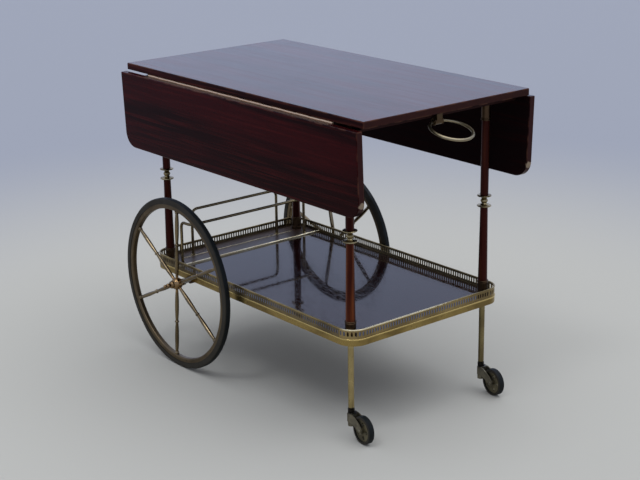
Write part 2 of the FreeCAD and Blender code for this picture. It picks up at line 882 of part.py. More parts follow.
def wheel_rim():
    """Rim of the far wheel."""
    def at(radius, along):
        return Vector(radius, along, 0)

    half = rim_width / 2
    bulge = rim_round * (1 - math.sqrt(0.5))
    return wheel_section([
        at(rim_outer_radius, -half),
        at(rim_outer_radius, half),
        at(rim_inner_radius + rim_round, half),
        (at(rim_inner_radius + bulge, half - bulge), at(rim_inner_radius, half - rim_round)),
        at(rim_inner_radius, -half + rim_round),
        (at(rim_inner_radius + bulge, -half + bulge), at(rim_inner_radius + rim_round, -half)),
        at(rim_outer_radius, -half),
    ])


def spoke():
    """One turned spoke along +Z from the hub's middle: two swellings and a bead between them."""
    start = hub_radius / 2
    end = rim_inner_radius - seat_gap
    middle = (hub_radius + end) / 2
    bead = spoke_bead_length / 2

    def at(radius, height):
        return Vector(radius, 0, height)

    return lathe(profile([
        at(0, start),
        at(spoke_end_radius, start),
        at(spoke_end_radius, hub_radius),
        (at(spoke_swell_radius, (hub_radius + middle) / 2), at(spoke_waist_radius, middle - bead)),
        (at(spoke_bead_radius, middle), at(spoke_waist_radius, middle + bead)),
        (at(spoke_swell_radius, (middle + end) / 2), at(spoke_end_radius, end)),
        at(0, end),
    ]), AXIS_Z)


def wheel_spider(turn):
    """Ball hub of the far wheel with its spokes, turned about the axle."""
    hub = Part.makeSphere(hub_radius)
    outer_face = hub_outer() - wheel_y
    hub = hub.common(box((-hub_radius, hub_radius), (-hub_radius, outer_face), (-hub_radius, hub_radius)))
    boss = crosswise(hub_boss_radius, 0, 0, -hub_boss_reach, 0)
    spokes = []
    for index in range(spoke_count):
        arm = spoke()
        arm.rotate(ORIGIN, AXIS_Y, turn + 360 * index / spoke_count)
        spokes.append(arm)
    spider = hub.fuse([boss] + spokes)
    spider = spider.cut(crosswise(axle_radius + axle_fit, 0, 0, -2 * hub_boss_reach, 2 * hub_boss_reach))
    spider.translate(Vector(axle_x, wheel_y, axle_z))
    return spider


def leg(y):
    """Brass front leg with a flange under the tray and a socket for the caster."""
    x = column_x
    tube = upright(leg_radius, x, y, caster_height, core_bottom)
    flange = upright(leg_flange_radius, x, y, core_bottom - leg_flange_thickness, core_bottom)
    rod_end = core_bottom - leg_flange_thickness - tie_rod_leg_bite - tie_rod_clearance
    socket_top = caster_height + swivel_stem_length
    socket = upright(swivel_stem_radius + swivel_fit, x, y, caster_height, socket_top + swivel_fit)
    return tube.fuse(flange).removeSplitter().cut([tie_rod_bore(x, y, rod_end, core_bottom), socket])


def led(shape, y):
    """A caster piece, modelled at the origin with its wheel along +X, in its place under a leg."""
    placed = shape.copy()
    placed.rotate(ORIGIN, AXIS_Z, caster_lead_angle)
    placed.translate(Vector(column_x, y, 0))
    return placed


def fork_arm(start_y, yoke_front, yoke_low):
    """One bowed arm of a caster fork, from the yoke to the eye of the roller pin."""
    def at(x, z):
        return Vector(x, start_y, z)

    def on_eye(degrees):
        turn = FreeCAD.Rotation(AXIS_Y, -degrees)
        return at(caster_trail, caster_radius) + turn.multVec(AXIS_X * fork_eye_radius)

    def bowed(first, last):
        side = (last - first).cross(AXIS_Y)
        return (first + last) / 2 + side.normalize() * fork_arm_bow * (1 if side.z > 0 else -1)

    yoke_top = yoke_low + fork_yoke_height
    shoulder = at(yoke_front, yoke_top)
    root = at(0, yoke_low)
    outline = profile([
        root,
        at(0, yoke_top),
        shoulder,
        (bowed(shoulder, on_eye(60)), on_eye(60)),
        (on_eye(-30), on_eye(-120)),
        (bowed(on_eye(-120), root), root),
    ])
    return Part.Face(Part.Wire(outline)).extrude(AXIS_Y * fork_arm_thickness)


def caster_fork(y):
    """Dark swivel fork: stem, housing, yoke, two arms and the riveted roller pin."""
    housing_top = caster_height - caster_gap
    housing = upright(swivel_radius, 0, 0, swivel_bottom, housing_top)
    stem = upright(swivel_stem_radius, 0, 0, housing_top, caster_height + swivel_stem_length)
    inner = caster_width / 2 + fork_side_gap
    outer = inner + fork_arm_thickness
    yoke_front = caster_trail - caster_radius - fork_yoke_gap
    yoke_low = housing_top - swivel_radius - fork_yoke_height
    yoke = box((0, yoke_front), (-outer, outer), (yoke_low, yoke_low + fork_yoke_height))
    arms = [fork_arm(low, yoke_front, yoke_low) for low in (-outer, inner)]
    pin = crosswise(roller_pin_radius, caster_trail, caster_radius, -outer, outer)
    head_end = outer + roller_pin_head_height
    heads = both_sides(crosswise(roller_pin_head_radius, caster_trail, caster_radius, outer, head_end))
    return led(housing.fuse([stem, yoke, pin] + arms + heads).removeSplitter(), y)


def roller_disc(y):
    """Pierced disc of a caster wheel."""
    half = roller_disc_thickness / 2
    z = caster_radius
    disc = crosswise(roller_disc_radius, caster_trail, z, -half, half)
    boss = crosswise(roller_boss_radius, caster_trail, z, -caster_width / 2, caster_width / 2)
    bore = crosswise(roller_pin_radius + roller_fit, caster_trail, z, -caster_width, caster_width)
    holes = []
    for index in range(roller_hole_count):
        turn = 2 * math.pi * index / roller_hole_count
        x = caster_trail + roller_hole_circle * math.cos(turn)
        holes.append(crosswise(roller_hole_radius, x, z + roller_hole_circle * math.sin(turn), -half, half))
    return led(disc.fuse(boss).removeSplitter().cut([bore] + holes), y)


def roller_tyre(y):
    """Rubber tyre of a caster wheel."""
    def at(radius, along):
        return Vector(radius, along, 0)

    half = caster_width / 2
    tread = roller_tread_width / 2
    inner = roller_disc_radius + seat_gap
    shoulder = caster_radius - (half - tread)
    bulge = (half - tread) * (1 - math.sqrt(0.5))
    tyre = Part.Face(Part.Wire(profile([
        at(inner, -half),
        at(shoulder, -half),
        (at(caster_radius - bulge, -half + bulge), at(caster_radius, -tread)),
        at(caster_radius, tread),
        (at(caster_radius - bulge, half - bulge), at(shoulder, half)),
        at(inner, half),
        at(inner, -half),
    ]))).revolve(ORIGIN, AXIS_Y, 360)
    tyre.translate(Vector(caster_trail, 0, caster_radius))
    return led(tyre, y)


def handle_screw_places():
    """Places of the screws of the handle's bracket."""
    x = ring_axis_x - handle_plate_back + handle_plate_length / 2
    return [(x, -handle_screw_span / 2), (x, handle_screw_span / 2)]


def handle_bracket():
    """Brass bracket under the top: plate, post and the barrel that the ring turns in."""
    back = ring_axis_x - handle_plate_back
    plate_low = underside - handle_plate_thickness
    half = handle_plate_width / 2
    plate = box((back, back + handle_plate_length), (-half, half), (plate_low, underside))
    post_x = (back, back + handle_post_length)
    post = box(post_x, (-handle_post_width / 2, handle_post_width / 2), (ring_axis_z, plate_low))
    barrel = crosswise(barrel_radius, ring_axis_x, ring_axis_z, -barrel_length / 2, barrel_length / 2)
    bore = crosswise(ring_wire_radius + ring_fit, ring_axis_x, ring_axis_z, -barrel_length, barrel_length)
    holes = [upright(screw_shank_radius + screw_clearance, x, y, plate_low, underside)
             for x, y in handle_screw_places()]
    return plate.fuse([post, barrel]).removeSplitter().cut([bore] + holes)


def ring_handle():
    """Ring of wire with a short straight run that turns in the barrel, drooping as it is left."""
    sweep = 180 - math.degrees(math.asin(ring_pivot_half / ring_radius))
    bow = Part.makeTorus(ring_radius, ring_wire_radius, ORIGIN, AXIS_Z, -180, 180, 2 * sweep)
    bow.rotate(ORIGIN, AXIS_Z, -sweep)
    bow.translate(Vector(ring_chord_drop, 0, 0))
    pivot = crosswise(ring_wire_radius, 0, 0, -ring_pivot_half, ring_pivot_half)
    knees = both_sides(Part.makeSphere(ring_wire_radius, Vector(0, ring_pivot_half, 0)))
    handle = bow.fuse([pivot] + knees)
    handle.rotate(ORIGIN, AXIS_Y, ring_droop)
    handle.translate(Vector(ring_axis_x, 0, ring_axis_z))
    return handle


def frame_screws():
    """Screws of the board's hinge plates, the axle brackets and the handle's bracket."""
    screws = [hinge_screw(x, side * (pin_y - screw_row)) for x in hinge_screw_places() for side in (-1, 1)]
    seat = core_bottom - bracket_foot_thickness
    screws += [pan_screw(x, side * axle_bracket_y, seat) for x in bracket_screw_places() for side in (-1, 1)]
    plate_low = underside - handle_plate_thickness
    return screws + [pan_screw(x, y, plate_low) for x, y in handle_screw_places()]


def top_nodes():
    """Top, leaves, hinges, rails, slides and handle."""
    leaf_board = hung(leaf())
    leaf_plate = hung(hinge_leaf_plate())
    leaf_screws = [hung(edge_screw(x)) for x in hinge_screw_places()]
    far_plate = [hinge_board_plate(), hinge_pin()]
    far_slide = slide()
    front_rail = cross_rail()
    front_runner = runner()
    far_slides = [far_slide, to_rear(far_slide)]
    return {
        "top_board": [top_board()],
        "leaf_near": [to_near(leaf_board)],
        "leaf_far": [leaf_board],
        "hinge_near": [to_near(piece) for piece in far_plate],
        "hinge_far": far_plate,
        "leaf_hinge_near": [to_near(piece) for piece in [leaf_plate] + leaf_screws],
        "leaf_hinge_far": [leaf_plate] + leaf_screws,
        "frame_screws": frame_screws(),
        "cross_rail_front": [front_rail],
        "cross_rail_rear": [to_rear(front_rail)],
        "runner_front": [front_runner],
        "runner_rear": [to_rear(front_runner)],
        "slides_near": [to_near(piece) for piece in far_slides],
        "slides_far": far_slides,
        "handle_bracket": [handle_bracket()],
        "ring_handle": [ring_handle()],
    }


def column_nodes():
    """The four columns and what they are made of."""
    nodes = {}
    for place, (x, y) in COLUMNS.items():
        nodes["column_upper_" + place] = [column_upper(x, y)]
        nodes["column_lower_" + place] = [column_lower(x, y)]
    nodes["column_collars"] = [column_collar(x, y) for x, y in COLUMNS.values()]
    nodes["column_caps"] = [column_cap(x, y) for x, y in COLUMNS.values()]
    nodes["column_bases"] = [column_base(x, y) for x, y in COLUMNS.values()]
    nodes["tie_rods"] = [tie_rod(place) for place in COLUMNS]
    return nodes


def tray_nodes():
    """Tray, gallery and bottle rack."""
    front = gallery_front()
    far = gallery_far()
    front_corners = both_sides(gallery_corner())
    return {
        "tray_core": [tray_core()],
        "serving_panel": [serving_panel()],
        "bottle_floor": [bottle_floor()],
        "tray_strips": tray_strips(),
        "tray_band": [tray_band()],
        "gallery_front": [front],
        "gallery_rear": [to_rear(front)],
        "gallery_near": [to_near(far)],
        "gallery_far": [far],
        "gallery_corners": front_corners + [to_rear(corner) for corner in front_corners],
        "gallery_rail": [gallery_rail()],
        "rack_hoop": [rack_hoop()],
        "rack_guard": [rack_guard()],
        "rack_feet": rack_feet(),
    }


def wheel_nodes():
    """Axle, large wheels, legs and casters."""
    nodes = {
        "axle": [axle()],
        "axle_brackets": both_sides(axle_bracket()),
        "axle_finials": both_sides(axle_finial()),
    }
    for name, piece in (("tyre", wheel_tyre()), ("rim", wheel_rim())):
        nodes["wheel_" + name + "_far"] = [piece]
        nodes["wheel_" + name + "_near"] = [to_near(piece)]
    nodes["wheel_spider_far"] = [wheel_spider(far_spoke_turn)]
    nodes["wheel_spider_near"] = [to_near(wheel_spider(near_spoke_turn))]
    for side, y in (("near", -column_y), ("far", column_y)):
        nodes["leg_" + side] = [leg(y)]
        nodes["caster_fork_" + side] = [caster_fork(y)]
        nodes["roller_disc_" + side] = [roller_disc(y)]
        nodes["roller_tyre_" + side] = [roller_tyre(y)]
    return nodes


def main():
    """Writes one file per node."""
    os.makedirs("parts", exist_ok=True)
    nodes = {**top_nodes(), **column_nodes(), **tray_nodes(), **wheel_nodes()}
    for name, solids in nodes.items():
        shape = solids[0] if len(solids) == 1 else Part.makeCompound(solids)
        shape = shape.copy()
        shape.translate(centre_shift)
        shape.exportStep("parts/" + name + ".step")
        bad = [s for s in shape.Solids if not s.isValid()]
        print(name, "solids", len(shape.Solids), "invalid", len(bad), "volume", round(shape.Volume))
    print("nodes", len(nodes), "shift", round(centre_shift.x, 3))


main()
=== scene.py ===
"""Looks of a drop-leaf tea trolley in mahogany and brass.

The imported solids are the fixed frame. This file gives each of them its finish, adds small turned and
cast details, and sets up the studio and the camera. Metres throughout, in the frame's own axes:
+X to the caster end, -Y to the near leaf, +Z up.
"""

import logging
import math
from collections.abc import Callable
from dataclasses import dataclass, field
from enum import Enum
from functools import reduce

import bpy
from mathutils import Euler, Matrix, Vector


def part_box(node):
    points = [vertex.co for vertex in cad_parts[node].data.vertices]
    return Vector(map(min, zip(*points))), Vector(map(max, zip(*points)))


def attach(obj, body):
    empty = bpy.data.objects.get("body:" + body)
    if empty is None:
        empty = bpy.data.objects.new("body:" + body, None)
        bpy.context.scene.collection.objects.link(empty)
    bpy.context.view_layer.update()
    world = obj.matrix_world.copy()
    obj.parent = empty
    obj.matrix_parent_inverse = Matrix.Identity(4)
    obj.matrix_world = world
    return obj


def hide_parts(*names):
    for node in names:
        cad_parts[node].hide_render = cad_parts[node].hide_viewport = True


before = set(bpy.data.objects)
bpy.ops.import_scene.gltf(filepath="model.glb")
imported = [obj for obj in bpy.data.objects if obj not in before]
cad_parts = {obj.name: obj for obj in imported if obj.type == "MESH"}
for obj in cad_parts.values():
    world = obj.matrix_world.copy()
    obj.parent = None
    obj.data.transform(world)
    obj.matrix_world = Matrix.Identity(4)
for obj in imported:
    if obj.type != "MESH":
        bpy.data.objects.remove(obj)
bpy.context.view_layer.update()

log = logging.getLogger("tea_trolley")

Colour = tuple[float, float, float]
Place = tuple[float, float, float]
Span = tuple[float, float]
Tones = tuple[Colour, Colour, Colour]
Profile = tuple[tuple[float, float], ...]
Socket = bpy.types.NodeSocket
Feed = Socket | float | tuple

BOTH_WAYS = (-1.0, 1.0)
FACING_DOWN = Matrix.Rotation(math.pi, 4, "X")
MERGE_GAP = 1e-6

# How far a bead is sunk into what carries it, and the degrees between the points of its arc
BEAD_SUNK = 0.0005
BEAD_STEP = 30

# Least upward normal of a flat face, and of a sloped one
FLAT_UP = 0.9
SLOPED_UP = 0.5

# Size of a normal's part along an axis, from a slanted face to one that faces that way
FACING = (0.6, 0.95)

# Depth over which the unpolished back, darkened with painted shade, fades out
BACK_DEPTH = (0.0012, 0.0022)

# Mean of a noise, and the share of a rubbed spot that is rubbed all through
NOISE_MEAN = 0.5
SPOT_CORE = 0.7


class Grain(Enum):
    """Way the wood grain runs, with the turn that brings it onto X."""

    ALONG_X = (0.0, 0.0, 0.0)
    ALONG_Y = (0.0, 0.0, math.radians(-90))
    ALONG_Z = (0.0, math.radians(90), 0.0)

    @property
    def axis(self) -> int:
        """Number of the axis that the grain runs along."""
        return list(Grain).index(self)


class Side(Enum):
    """Long side of the trolley, with its sign along Y."""

    NEAR = -1.0
    FAR = 1.0

    @property
    def label(self) -> str:
        """Word for this side in the names of nodes and pieces."""
        return self.name.lower()


class Graph:
    """Short calls for building one node tree."""

    def __init__(self, tree: bpy.types.NodeTree) -> None:
        """Keeps the tree that the nodes go into."""
        self.tree = tree

    def feed(self, socket: Socket, value: Feed) -> None:
        """Links a socket to another, or sets a plain value on it.

        Args:
            socket: Input of a node.
            value: What goes into it.
        """
        if isinstance(value, bpy.types.NodeSocket):
            self.tree.links.new(value, socket)
        else:
            socket.default_value = value

    def node(self, kind: str, *feeds: Feed, **settings: object) -> bpy.types.Node:
        """Adds a node.

        Args:
            kind: Blender's name of the node type.
            feeds: What goes into its first inputs, in order.
            settings: Attributes to set on the node.

        Returns:
            The new node.
        """
        made = self.tree.nodes.new(kind)
        for name, value in settings.items():
            setattr(made, name, value)
        for socket, value in zip(made.inputs, feeds):
            self.feed(socket, value)
        return made

    def sum_up(self, operation: str, first: Feed, second: Feed = 0.0) -> Socket:
        """Adds a Math node for an operation such as MAXIMUM."""
        return self.node("ShaderNodeMath", first, second, operation=operation).outputs[0]

    def plus(self, first: Feed, second: Feed) -> Socket:
        """Adds two numbers."""
        return self.sum_up("ADD", first, second)

    def times(self, first: Feed, second: Feed) -> Socket:
        """Multiplies two numbers."""
        return self.sum_up("MULTIPLY", first, second)

    def strongest(self, masks: list[Socket]) -> Socket:
        """Takes the largest of several masks at each place."""
        return reduce(lambda first, second: self.sum_up("MAXIMUM", first, second), masks)

    def vectors(self, operation: str, first: Feed, second: Feed) -> Socket:
        """Adds a Vector Math node for an operation that gives a vector."""
        return self.node("ShaderNodeVectorMath", first, second, operation=operation).outputs["Vector"]

    def measure(self, operation: str, first: Feed, second: Feed = (0.0, 0.0, 0.0)) -> Socket:
        """Adds a Vector Math node for an operation that gives a number."""
        return self.node("ShaderNodeVectorMath", first, second, operation=operation).outputs["Value"]

    def between(self, start: Feed, end: Feed) -> Socket:
        """Gives the way from one place to another."""
        return self.vectors("SUBTRACT", end, start)

    def split(self, vector: Socket) -> bpy.types.NodeOutputs:
        """Splits a vector into its three numbers."""
        return self.node("ShaderNodeSeparateXYZ", vector).outputs

    def turn_back(self, vector: Socket, turn: Place) -> Socket:
        """Takes a turn out of a place on the surface."""
        no_shift = (0.0, 0.0, 0.0)
        return self.node("ShaderNodeMapping", vector, no_shift, turn, vector_type="TEXTURE").outputs[0]

    def fade(self, value: Socket, low: Feed, high: Feed, start: float = 0.0, end: float = 1.0) -> Socket:
        """Maps a value between a low and a high limit onto a smooth step from start to end."""
        made = self.node("ShaderNodeMapRange", value, low, high, start, end, interpolation_type="SMOOTHSTEP")
        return made.outputs["Result"]

    def blend(self, factor: Feed, first: Feed, second: Feed) -> Socket:
        """Mixes two colours.

        Args:
            factor: Share of the second colour.
            first: First colour.
            second: Second colour.

        Returns:
            The mixed colour's socket.
        """
        made = self.node("ShaderNodeMix", data_type="RGBA")
        self.feed(made.inputs[0], factor)
        for socket, value in ((made.inputs[6], first), (made.inputs[7], second)):
            self.feed(socket, value if isinstance(value, bpy.types.NodeSocket) else (*value, 1.0))
        return made.outputs[2]

    def group(self, name: str, **feeds: Feed) -> bpy.types.NodeOutputs:
        """Places a shared effect.

        Args:
            name: Name of its node group.
            feeds: Feeds of its inputs, by name.

        Returns:
            The group's outputs.
        """
        made = self.node("ShaderNodeGroup", node_tree=bpy.data.node_groups[name])
        for label, value in feeds.items():
            self.feed(made.inputs[label], value)
        return made.outputs


@dataclass(frozen=True)
class Pattern:
    """Noise at one scale in waves per metre, with the limits between which it fades in."""

    scale: float | Place
    detail: float
    distortion: float = 0.0
    limits: Span | None = None

    def draw(self, g: Graph, place: Socket) -> Socket:
        """Adds the noise texture.

        Args:
            g: Graph that it goes into.
            place: Place on the surface.

        Returns:
            The pattern, about 0 to 1.
        """
        made = g.node("ShaderNodeTexNoise")
        drawn_out = isinstance(self.scale, tuple)
        g.feed(made.inputs["Vector"], g.vectors("MULTIPLY", place, self.scale) if drawn_out else place)
        made.inputs["Scale"].default_value = 1.0 if drawn_out else self.scale
        made.inputs["Detail"].default_value = self.detail
        made.inputs["Distortion"].default_value = self.distortion
        noise = made.outputs["Fac"]
        return g.fade(noise, *self.limits) if self.limits else noise


PATTERNS = {
    "mahogany figure": {
        "Ribbon": Pattern((1.3, 17.0, 17.0), 3.0, 0.9),
        "Streak": Pattern((4.0, 150.0, 150.0), 3.0, 0.3),
        "Pores": Pattern((55.0, 1400.0, 1400.0), 1.0, limits=(0.56, 0.7)),
    },
    "brass ageing": {
        "Stain": Pattern(14.0, 5.0, 0.6, (0.36, 0.68)),
        "Specks": Pattern(190.0, 3.0, limits=(0.62, 0.74)),
        "Rubbing": Pattern(420.0, 3.0),
    },
    "handling": {"Haze": Pattern(6.5, 4.0, 0.8, (0.35, 0.75))},
}
PATCHES = Pattern(34.0, 4.0, limits=(0.42, 0.62))
RAGGED = Pattern(150.0, 3.0)


class Effect:
    """A shader node group that several finishes share."""

    def __init__(self, name: str, inputs: dict[str, str], outputs: tuple[str, ...]) -> None:
        """Makes the empty group.

        Args:
            name: Name of the group.
            inputs: Kind of each input besides the place, Vector or Float.
            outputs: Names of the outputs, all numbers.
        """
        tree = bpy.data.node_groups.new(name, "ShaderNodeTree")
        for label, kind in {"Vector": "Vector", **inputs}.items():
            tree.interface.new_socket(name=label, in_out="INPUT", socket_type="NodeSocket" + kind)
        for label in outputs:
            tree.interface.new_socket(name=label, in_out="OUTPUT", socket_type="NodeSocketFloat")
        self.graph = Graph(tree)
        self.source = self.graph.node("NodeGroupInput").outputs
        self.place = self.source["Vector"]
        self.sink = self.graph.node("NodeGroupOutput").inputs


def make_patterns() -> None:
    """Makes the groups of plain patterns: figure of mahogany, ageing of brass and haze of handling."""
    for name, patterns in PATTERNS.items():
        effect = Effect(name, {}, tuple(patterns))
        for label, pattern in patterns.items():
            effect.graph.feed(effect.sink[label], pattern.draw(effect.graph, effect.place))


def make_arris_wear() -> None:
    """Makes the rubbed arrises of a board: near two of its faces at once, broken up by noise."""
    effect = Effect("arris wear", {"Low": "Vector", "High": "Vector", "Reach": "Float"}, ("Wear",))
    g = effect.graph
    from_low = g.between(effect.source["Low"], effect.place)
    from_high = g.between(effect.place, effect.source["High"])
    x, y, z = g.split(g.vectors("MINIMUM", from_low, from_high))
    low = g.sum_up("MINIMUM", x, y)
    high = g.sum_up("MAXIMUM", x, y)
    second = g.sum_up("MAXIMUM", low, g.sum_up("MINIMUM", high, z))
    edge = g.fade(second, 0.0, effect.source["Reach"], 1.0, 0.0)
    g.feed(effect.sink["Wear"], g.times(edge, PATCHES.draw(g, effect.place)))


def make_back_face() -> None:
    """Makes the mask of one face of a board, such as the underside, which is left unpolished and darkened
    with painted shade.
    """
    effect = Effect("back face", {"Face": "Vector", "Way": "Vector"}, ("Back",))
    g = effect.graph
    inward = g.between(effect.source["Face"], effect.place)
    depth = g.measure("DOT_PRODUCT", inward, effect.source["Way"])
    g.feed(effect.sink["Back"], g.fade(depth, *BACK_DEPTH, 1.0, 0.0))


def make_wear_and_light_spot() -> None:
    """Makes a spot with a ragged edge: real wear, such as the knocked corner of a leaf, or a painted
    highlight, such as the line along a hinge pin.
    """
    effect = Effect("rubbed spot", {"Spot": "Vector", "Reach": "Float"}, ("Bare",))
    g = effect.graph
    reach = effect.source["Reach"]
    far = g.measure("LENGTH", g.between(effect.source["Spot"], effect.place))
    ragged = g.sum_up("SUBTRACT", RAGGED.draw(g, effect.place), NOISE_MEAN)
    away = g.plus(far, g.times(ragged, reach))
    g.feed(effect.sink["Bare"], g.fade(away, g.times(reach, SPOT_CORE), reach, 1.0, 0.0))


def start_material(name: str) -> tuple[bpy.types.Material, Graph, bpy.types.Node]:
    """Makes a material with an empty Principled shader.

    Args:
        name: Name of the material.

    Returns:
        The material, its graph and its shader node.
    """
    material = bpy.data.materials.new(name)
    material.use_nodes = True
    graph = Graph(material.node_tree)
    return material, graph, material.node_tree.nodes["Principled BSDF"]


def bump(g: Graph, shader: bpy.types.Node, height: Socket, strength: float, depth: float) -> None:
    """Feeds a bump from a height into a shader.

    Args:
        g: Graph of the material.
        shader: Principled shader.
        height: Height's socket, 0 to 1.
        strength: Strength of the bump.
        depth: Depth of the relief.
    """
    made = g.node("ShaderNodeBump")
    made.inputs["Strength"].default_value = strength
    made.inputs["Distance"].default_value = depth
    g.feed(made.inputs["Height"], height)
    g.feed(shader.inputs["Normal"], made.outputs["Normal"])


@dataclass(frozen=True)
class WearAndLightSpot:
    """Spot of another tone, for real wear or for a painted highlight; a span of 0 along an axis draws it out
    without end that way.
    """

    place: Place
    tone: Colour
    reach: float = 0.003
    span: Place = (1.0, 1.0, 1.0)

    def mask(self, g: Graph, place: Socket) -> Socket:
        """Adds the spot to a material.

        Args:
            g: Graph of the material.
            place: Place on the surface.

        Returns:
            Mask of the spot.
        """
        spread = g.vectors("MULTIPLY", place, self.span)
        return g.group("rubbed spot", Vector=spread, Spot=self.place, Reach=self.reach)["Bare"]


@dataclass(frozen=True)
class WoodFinish:
    """Polished wood with grain along one axis; a board is worn at its arrises, and its back is unpolished
    and darkened with painted shade.
    """

    name: str
    grain: Grain
    dark: Colour
    mid: Colour
    light: Colour
    worn: Colour = (0.10, 0.045, 0.028)
    # Painted shade: the colour of a back face, darker than the wood
    plain: Colour = (0.004, 0.0026, 0.003)
    end_grain: Colour = (0.022, 0.0085, 0.0075)
    roughness: float = 0.2
    uneven: float = 0.05
    coat: float = 0.0
    coat_roughness: float = 0.08
    specular: float = 0.35
    edge_gloss: float = 1.0
    tint: Colour = (1.0, 0.3, 0.3)
    lean: float = 0.0
    box: tuple[Place, Place] | None = None
    wear_reach: float = 0.0035
    spot: WearAndLightSpot | None = None
    back: Place | None = None
    back_way: Place = (0.0, 0.0, 1.0)
    ribbon_limits: Span = (0.34, 0.66)
    streak_limits: Span = (0.46, 0.72)
    streak_share: float = 0.7
    pore_share: float = 0.6
    end_share: float = 0.85
    swing_limits: Span = (0.3, 0.7)
    plain_least: float = 0.85
    gloss_swing: float = 0.05
    uneven_limits: Span = (0.35, 0.7)
    haze_dulling: float = 0.03
    rubbed_dulling: float = 0.3
    plain_dulling: float = 0.5
    relief: float = 0.1
    relief_depth: float = 0.0002

    def build(self) -> bpy.types.Material:
        """Builds the material.

        Returns:
            The material.
        """
        material, g, shader = start_material(self.name)
        source = g.node("ShaderNodeTexCoord").outputs
        place = source["Object"]
        facing = g.split(source["Normal"])
        figure = g.group("mahogany figure", Vector=g.turn_back(place, self.grain.value))
        haze = g.group("handling", Vector=place)["Haze"]
        masks = self.find_masks(g, place)
        colour = self.mix_colour(g, figure, facing[self.grain.axis], masks)
        g.feed(shader.inputs["Base Color"], colour)
        g.feed(shader.inputs["Roughness"], self.mix_roughness(g, figure["Streak"], haze, masks))
        if self.coat:
            g.feed(shader.inputs["Coat Weight"], self.mix_coat(g, figure["Streak"], facing[2], masks))
            shader.inputs["Coat Roughness"].default_value = self.coat_roughness
        shader.inputs["Specular IOR Level"].default_value = self.specular
        shader.inputs["Specular Tint"].default_value = (*self.tint, 1.0)
        bump(g, shader, g.sum_up("SUBTRACT", 1.0, figure["Pores"]), self.relief, self.relief_depth)
        return material

    def find_masks(self, g: Graph, place: Socket) -> dict[str, Socket]:
        """Finds where the wood is worn at its arrises, knocked at a spot, and unpolished and darkened with
        painted shade on its back.

        Args:
            g: Graph of the material.
            place: Place on the surface.

        Returns:
            Masks by name, only of what this wood has.
        """
        masks = {}
        upright = g.turn_back(place, (self.lean, 0.0, 0.0)) if self.lean else place
        if self.box:
            low, high = self.box
            wear = g.group("arris wear", Vector=upright, Low=low, High=high, Reach=self.wear_reach)
            masks["worn"] = wear["Wear"]
        if self.spot:
            masks["bare"] = self.spot.mask(g, upright)
        if self.back:
            back = g.group("back face", Vector=upright, Face=self.back, Way=self.back_way)
            masks["plain"] = back["Back"]
        return masks

    def mix_colour(self, g: Graph, figure: bpy.types.NodeOutputs, along: Socket,
                   masks: dict[str, Socket]) -> Socket:
        """Mixes the colour from the figure, the end grain and the wear.

        Args:
            g: Graph of the material.
            figure: Outputs of the figure.
            along: Part of the normal along the grain.
            masks: Masks of the wear.

        Returns:
            The colour's socket.
        """
        colour = g.blend(g.fade(figure["Ribbon"], *self.ribbon_limits), self.dark, self.mid)
        streaks = g.fade(figure["Streak"], *self.streak_limits, 0.0, self.streak_share)
        colour = g.blend(streaks, colour, self.light)
        colour = g.blend(g.times(figure["Pores"], self.pore_share), colour, self.dark)
        end_face = g.fade(g.sum_up("ABSOLUTE", along), *FACING, 0.0, self.end_share)
        colour = g.blend(end_face, colour, self.end_grain)
        # Painted shade on the back face
        if "plain" in masks:
            streaky = g.fade(figure["Streak"], *self.swing_limits, 1.0, self.plain_least)
            colour = g.blend(g.times(masks["plain"], streaky), colour, self.plain)
        if "worn" in masks:
            colour = g.blend(masks["worn"], colour, self.worn)
        if "bare" in masks:
            colour = g.blend(masks["bare"], colour, self.spot.tone)
        return colour

    def mix_roughness(self, g: Graph, streak: Socket, haze: Socket, masks: dict[str, Socket]) -> Socket:
        """Adds up what dulls the polish.

        Args:
            g: Graph of the material.
            streak: Streaks of the figure.
            haze: Haze of handling.
            masks: Masks of the wear.

        Returns:
            The roughness's socket.
        """
        dull = g.times(haze, self.haze_dulling)
        rubbed = [masks[name] for name in ("worn", "bare") if name in masks]
        if rubbed:
            dull = g.plus(dull, g.times(g.strongest(rubbed), self.rubbed_dulling))
        if "plain" in masks:
            dull = g.plus(dull, g.times(masks["plain"], self.plain_dulling))
        dull = g.plus(dull, g.fade(streak, *self.uneven_limits, 0.0, self.uneven))
        return g.plus(dull, self.roughness)

    def mix_coat(self, g: Graph, streak: Socket, upward: Socket, masks: dict[str, Socket]) -> Socket:
        """Lays the polish over the wood, thinner on the edges of a board and off where it is worn.

        Args:
            g: Graph of the material.
            streak: Streaks of the figure.
            upward: Part of the normal along Z.
            masks: Masks of the wear.

        Returns:
            The coat weight's socket.
        """
        most = (1.0 + self.gloss_swing) * self.coat
        least = (1.0 - self.gloss_swing) * self.coat
        gloss = g.fade(streak, *self.swing_limits, most, least)
        if self.edge_gloss < 1.0:
            polish = g.fade(g.sum_up("ABSOLUTE", upward), *FACING, self.edge_gloss, 1.0)
            gloss = g.times(gloss, polish)
        if masks:
            polished = g.fade(g.strongest(list(masks.values())), 0.0, 1.0, 1.0, 0.0)
            gloss = g.times(gloss, polished)
        return gloss


